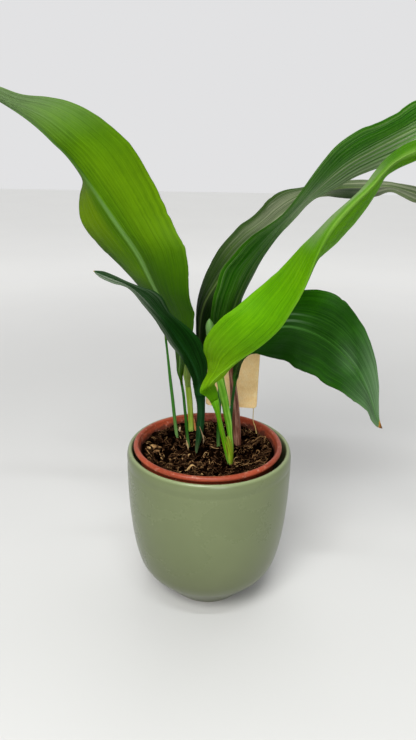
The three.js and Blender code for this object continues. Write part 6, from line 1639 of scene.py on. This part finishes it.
def ico(level):
    bm = bmesh.new()
    bmesh.ops.create_icosphere(bm, subdivisions=level, radius=1.0)
    v = np.array([q.co[:] for q in bm.verts])
    f = [tuple(q.index for q in face.verts) for face in bm.faces]
    bm.free()
    return v, f


ICO_V, ICO_F = ico(2)
ICO1_V, ICO1_F = ico(1)


def rot(rs):
    q = rs.normal(size=4)
    q /= np.linalg.norm(q)
    w_, x_, y_, z_ = q
    return np.array([[1 - 2 * (y_ * y_ + z_ * z_), 2 * (x_ * y_ - z_ * w_), 2 * (x_ * z_ + y_ * w_)], [2 * (x_ * y_ + z_ * w_), 1 - 2 * (x_ * x_ + z_ * z_), 2 * (y_ * z_ - x_ * w_)], [2 * (x_ * z_ - y_ * w_), 2 * (y_ * z_ + x_ * w_), 1 - 2 * (x_ * x_ + y_ * y_)]])


def spot(rs, rmax=0.965):
    rad_ = SOIL_R * rmax * math.sqrt(rs.uniform())
    a_ = rs.uniform(0, 2 * math.pi)
    return CX + rad_ * math.cos(a_), CY + rad_ * math.sin(a_)


STEM_SPOTS = [np.asarray(LEAF_ROWS[k][0][1][3:5], float) for k in LEAF_ROWS] + [np.array([23.5, 18.5]), np.asarray(YOUNG_SHOOT[1][3:5], float)]


def crumbs():
    heap = Heap()
    rs = np.random.RandomState(11)
    for i in range(2500):
        s = rs.choice([0.5, 0.9, 1.6, 2.6, 3.6], p=[0.36, 0.31, 0.20, 0.10, 0.03])
        x, y = spot(rs, 0.965 if s < 1.2 else 0.90)
        s *= rs.uniform(0.8, 1.25)
        big = s > 1.4
        bv, bf = (ICO_V, ICO_F) if big else (ICO1_V, ICO1_F)
        lump = 1 + (0.42 if big else 0.34) * rs.uniform(-1, 1, len(bv))
        v = bv * lump[:, None] * np.array([s, s * rs.uniform(0.5, 0.9), s * rs.uniform(0.35, 0.6)])
        v = v @ rot(rs).T
        z = float(soil_height(x, y)) + rs.uniform(-0.55, 0.25) * s
        heap.add(v + [x, y, z], bf, float(np.clip(rs.normal(0.17 if s < 2 else 0.12, 0.14), 0.02, 0.6)))
    return heap.done("soil_crumbs", False)


def fibre(points, radius, sides=5, taper=0.6):
    P = np.asarray(points, float)
    tan_ = np.gradient(P, axis=0)
    tan_ /= np.maximum(np.linalg.norm(tan_, axis=1, keepdims=True), 1e-9)
    ref = np.array([0.31, 0.22, 0.93])
    b1 = np.cross(tan_, ref)
    b1 /= np.maximum(np.linalg.norm(b1, axis=1, keepdims=True), 1e-9)
    b2 = np.cross(tan_, b1)
    an_ = np.linspace(0, 2 * np.pi, sides, endpoint=False)
    u_ = np.linspace(-1, 1, len(P))
    rr_ = radius * (1 - taper * np.abs(u_) ** 3)
    V = P[:, None] + rr_[:, None, None] * (np.cos(an_)[None, :, None] * b1[:, None] + np.sin(an_)[None, :, None] * b2[:, None])
    n_, m_ = len(P), sides
    F_ = [(i * m_ + k, i * m_ + (k + 1) % m_, (i + 1) * m_ + (k + 1) % m_, (i + 1) * m_ + k) for i in range(n_ - 1) for k in range(m_)]
    F_.append(tuple(range(m_))[::-1])
    F_.append(tuple((n_ - 1) * m_ + k for k in range(m_)))
    return V.reshape(-1, 3), F_


def curl_path(rs, x, y, length, n=11, lift=0.8, bend=1.0):
    a_ = rs.uniform(0, 2 * math.pi)
    k = rs.normal(0, bend * 2.2 / max(length, 1))
    pts_, px, py = [], x, y
    st = length / (n - 1)
    for i in range(n):
        z = float(soil_height(px, py)) + 0.15 + lift * math.sin(math.pi * i / (n - 1)) + rs.uniform(-0.15, 0.15)
        pts_.append((px, py, z))
        a_ += k * st + rs.normal(0, 0.25)
        nx, ny = px + st * math.cos(a_), py + st * math.sin(a_)
        if math.hypot(nx - CX, ny - CY) > SOIL_R * 0.97:
            a_ += math.pi * 0.5
            nx, ny = px, py
        px, py = nx, ny
    P = np.array(pts_)
    return catmull(P, np.linspace(0, 1, n * 2))


def fibres():
    """Coir strands: loose tangles of thin hairs, and a few thicker ones."""
    heap = Heap()
    rs = np.random.RandomState(12)
    for k in range(260):
        cx_, cy_ = spot(rs, 0.95)
        warm = rs.normal(0, 0.05)
        right_side = float(smoothstep(5, 35, cx_))
        for i in range(rs.randint(4, 12)):
            x, y = cx_ + rs.normal(0, 2.2), cy_ + rs.normal(0, 2.2)
            if math.hypot(x - CX, y - CY) > SOIL_R * 0.95:
                continue
            length = rs.choice([3, 5, 8, 12], p=[0.3, 0.36, 0.24, 0.1]) * rs.uniform(0.8, 1.3)
            P = curl_path(rs, x, y, length, n=5 if length < 6 else 8, lift=rs.uniform(0.2, 2.4), bend=1.3)
            rad_ = rs.choice([0.14, 0.22, 0.34, 0.5], p=[0.38, 0.34, 0.20, 0.08])
            v, f = fibre(P, rad_, 3 if rad_ < 0.2 else 4)
            tone = rs.choice([0.42, 0.58, 0.78], p=[0.48, 0.38, 0.14]) + warm + 0.04 * right_side + rs.normal(0, 0.07)
            heap.add(v, f, float(np.clip(tone, 0.1, 1)))
    return heap.done("soil_fibres")


def chips():
    heap = Heap()
    rs = np.random.RandomState(13)
    for i in range(150):
        x, y = spot(rs, 0.94)
        lx_, ly_, lz_ = rs.uniform(0.6, 2.6), rs.uniform(0.4, 1.0), rs.uniform(0.12, 0.3)
        v = ICO1_V.copy()
        v = np.sign(v) * np.abs(v) ** 0.6 * (1 + 0.18 * rs.uniform(-1, 1, (len(v), 3)))
        v = v * [lx_, ly_, lz_]
        yaw, tilt = rs.uniform(0, 2 * math.pi), rs.normal(0, 0.45)
        Ry = np.array([[math.cos(tilt), 0, math.sin(tilt)], [0, 1, 0], [-math.sin(tilt), 0, math.cos(tilt)]])
        Rz = np.array([[math.cos(yaw), -math.sin(yaw), 0], [math.sin(yaw), math.cos(yaw), 0], [0, 0, 1]])
        v = v @ (Rz @ Ry).T
        heap.add(v + [x, y, float(soil_height(x, y)) + 0.35], ICO1_F, float(np.clip(rs.normal(0.52, 0.18), 0.12, 0.95)))
    return heap.done("soil_chips")


CAM_POS = np.array([0.0, -444.16, 357.09])


def at_pixel(u_, v_, z):
    """The point at height z (mm) that the camera sees at that place in its frame."""
    d = (u_ - 208) / 600 * np.array(right[:]) - (v_ - 370) / 600 * np.array(up[:]) + np.array(fwd[:])
    k = (z - CAM_POS[2]) / d[2]
    return CAM_POS + d * k


def landmarks():
    """The larger bits that lie on the soil: a bark chunk, curled husks, pale roots."""
    heap = Heap()
    rs = np.random.RandomState(14)
    bv = ICO_V * (1 + 0.16 * rs.uniform(-1, 1, (len(ICO_V), 1)))
    for u_, v_, a_, b_, c_, tone in ((153, 450, 3.6, 2.0, 1.5, 0.86), (159, 447.5, 2.8, 1.5, 1.2, 0.78), (149, 453, 2.2, 1.3, 1.1, 0.92), (157, 453, 2.6, 1.2, 0.9, 0.70), (163, 451, 1.6, 0.9, 0.8, 0.82)):
        p = at_pixel(u_, v_, 126.4)
        yaw = rs.uniform(-0.8, 0.8)
        Rz = np.array([[math.cos(yaw), -math.sin(yaw), 0], [math.sin(yaw), math.cos(yaw), 0], [0, 0, 1]])
        lump = ICO_V * (1 + 0.30 * rs.uniform(-1, 1, (len(ICO_V), 1)))
        heap.add((lump * [a_, b_, c_]) @ Rz.T + [p[0], p[1], float(soil_height(p[0], p[1])) + 0.8], ICO_F, tone)
    for u_, v_, a_, b_, c_, tone in ((171, 437, 3.4, 2.4, 2.0, 0.06), (168, 439, 2.2, 1.6, 1.3, 0.04), (174.5, 439.5, 2.0, 1.5, 1.1, 0.10), (205, 465, 2.6, 1.6, 1.3, 0.08), (188, 462, 2.4, 1.7, 1.2, 0.07)):
        p = at_pixel(u_, v_, 125.4)
        lump = ICO_V * (1 + 0.34 * rs.uniform(-1, 1, (len(ICO_V), 1)))
        heap.add(lump * [a_, b_, c_] + [p[0], p[1], float(soil_height(p[0], p[1])) + 0.7], ICO_F, tone)
    for k in range(26):
        p = at_pixel(rs.uniform(145, 166), rs.uniform(444, 456), 126.4)
        P = curl_path(rs, p[0], p[1], rs.uniform(2, 5), n=6, lift=1.6, bend=1.5)
        v, f = fibre(P, rs.uniform(0.14, 0.26), 5)
        heap.add(v, f, float(rs.uniform(0.6, 0.9)))
    p = at_pixel(276, 452, 125.0)
    heap.add(bv @ rot(rs).T * [1.3, 1.0, 0.8] + [p[0], p[1], float(soil_height(p[0], p[1])) + 0.6], ICO_F, 1.0)
    for pix, rad_, tone in (
        ([(178, 470.5), (182, 472.5), (187, 471), (192, 468), (198, 467.5)], 0.75, 0.95),
        ([(186, 471.5), (190, 469.0), (193, 466.5), (196, 468)], 0.55, 0.86),
        ([(180, 474), (184, 473), (188, 474), (191, 472)], 0.35, 0.8),
        ([(146, 455), (150, 460), (156, 463), (163, 463)], 0.42, 0.8),
        ([(205, 446), (208, 452), (211, 456), (215, 453)], 0.28, 0.95),
        ([(208, 444), (212, 449), (216, 451), (222, 449)], 0.24, 0.9),
        ([(200, 458), (206, 461), (212, 460), (217, 463)], 0.3, 0.7),
        ([(243, 462), (250, 466), (258, 465), (264, 460)], 0.34, 0.75),
        ([(225, 470), (232, 472), (240, 471), (246, 468)], 0.3, 0.65),
        ([(166, 441), (171, 445), (176, 444), (181, 447)], 0.3, 0.7),
        ([(248, 441), (254, 444), (260, 443), (266, 446)], 0.28, 0.7),
    ):
        P = []
        for i, (u_, v_) in enumerate(pix):
            q_ = at_pixel(u_, v_, 125.6)
            P.append((q_[0], q_[1], float(soil_height(q_[0], q_[1])) + 0.5 + 0.9 * math.sin(math.pi * i / (len(pix) - 1))))
        v, f = fibre(catmull(P, np.linspace(0, 1, 26)), rad_, 8)
        heap.add(v, f, tone)
    return heap.done("soil_bark_and_roots")


for ob in (crumbs(), fibres(), chips(), landmarks()):
    piece(ob, soil_material(ob.name + "_mix", SOIL_STOPS, 1400.0, 0.9, 0.5))


# ------------------------------------------------------------------ floor and light

floor_me = obj_from("floor", [(-6, -6, 0), (6, -6, 0), (6, 6, 0), (-6, 6, 0)], [(0, 1, 2, 3)], False)
fl = Nodes("floor_matte_glow")
fco = fl.obj_coords()
fcol = fl.mix(fl.map(fl.noise(fco, 3.0, 3, 0.5), 0.3, 0.7, 0.0, 0.4), srgb("#c4c4c2"), srgb("#cacac8"))
fl_sh = fl.principled(fcol, 0.8, None, 0.2)
# painted glow: the floor glows more with distance and towards the back, so it fades into the bright backdrop
away = fl.new("ShaderNodeVectorMath", operation="LENGTH")
fl.link(fco, away.inputs[0])
fl.link(fcol, fl_sh.inputs["Emission Color"])
heading = fl.math("DIVIDE", fl.separate(fco)[1], fl.math("MAXIMUM", away.outputs["Value"], 0.05))
rise = fl.math("MULTIPLY", fl.map(away.outputs["Value"], 0.22, 1.7, 0.0, 1.0, True), fl.map(heading, 0.1, 0.7, 0.12, 0.86, True))
fl.link(rise, fl_sh.inputs["Emission Strength"])
floor_mat = fl.done(fl_sh.outputs[0])
if hasattr(floor_mat, "cycles"):
    floor_mat.cycles.emission_sampling = "NONE"
floor_me.data.materials.append(floor_mat)

world = bpy.data.worlds.new("studio")
SCENE.world = world
world.use_nodes = True
wt = world.node_tree
# a bright wall behind, a dimmer room to the sides and in front
wd = wt.nodes.new("ShaderNodeTexCoord")
wx = wt.nodes.new("ShaderNodeSeparateXYZ")
wr = wt.nodes.new("ShaderNodeValToRGB")
wt.links.new(wd.outputs["Generated"], wx.inputs[0])
wt.links.new(wx.outputs[1], wr.inputs[0])
wr.color_ramp.elements[0].position = 0.30
wr.color_ramp.elements[0].color = (0.24, 0.24, 0.25, 1)
wr.color_ramp.elements[1].position = 0.80
wr.color_ramp.elements[1].color = (0.76, 0.76, 0.77, 1)
wt.links.new(wr.outputs[0], wt.nodes["Background"].inputs[0])
wt.nodes["Background"].inputs[1].default_value = 1.0


def area(name, loc, target, size, power, col=(1, 1, 1)):
    ld = bpy.data.lights.new(name, "AREA")
    ld.shape = "RECTANGLE"
    ld.size, ld.size_y = size
    ld.energy = power
    ld.color = col
    lo = bpy.data.objects.new(name, ld)
    SCENE.collection.objects.link(lo)
    lo.location = loc
    lo.rotation_euler = (Vector(target) - Vector(loc)).to_track_quat("-Z", "Y").to_euler()
    return lo


area("key", (-0.30, -0.95, 1.15), (0, 0, 0.2), (0.7, 0.5), 20, (1.0, 0.99, 0.97))
area("fill", (0.30, -1.15, 0.50), (0, 0, 0.16), (0.5, 0.5), 5.0, (0.98, 0.99, 1.0))
area("strip", (0.0, -0.55, 1.30), (0, -0.06, 0.12), (0.55, 0.05), 4.5, (0.95, 0.98, 1.0))
area("top", (0.15, 0.45, 1.35), (0, 0, 0.25), (1.0, 0.8), 6, (1.0, 1.0, 1.0))

SCENE.view_settings.view_transform = "Standard"
SCENE.view_settings.look = "None"
SCENE.view_settings.exposure = 0.0
SCENE.view_settings.gamma = 1.0
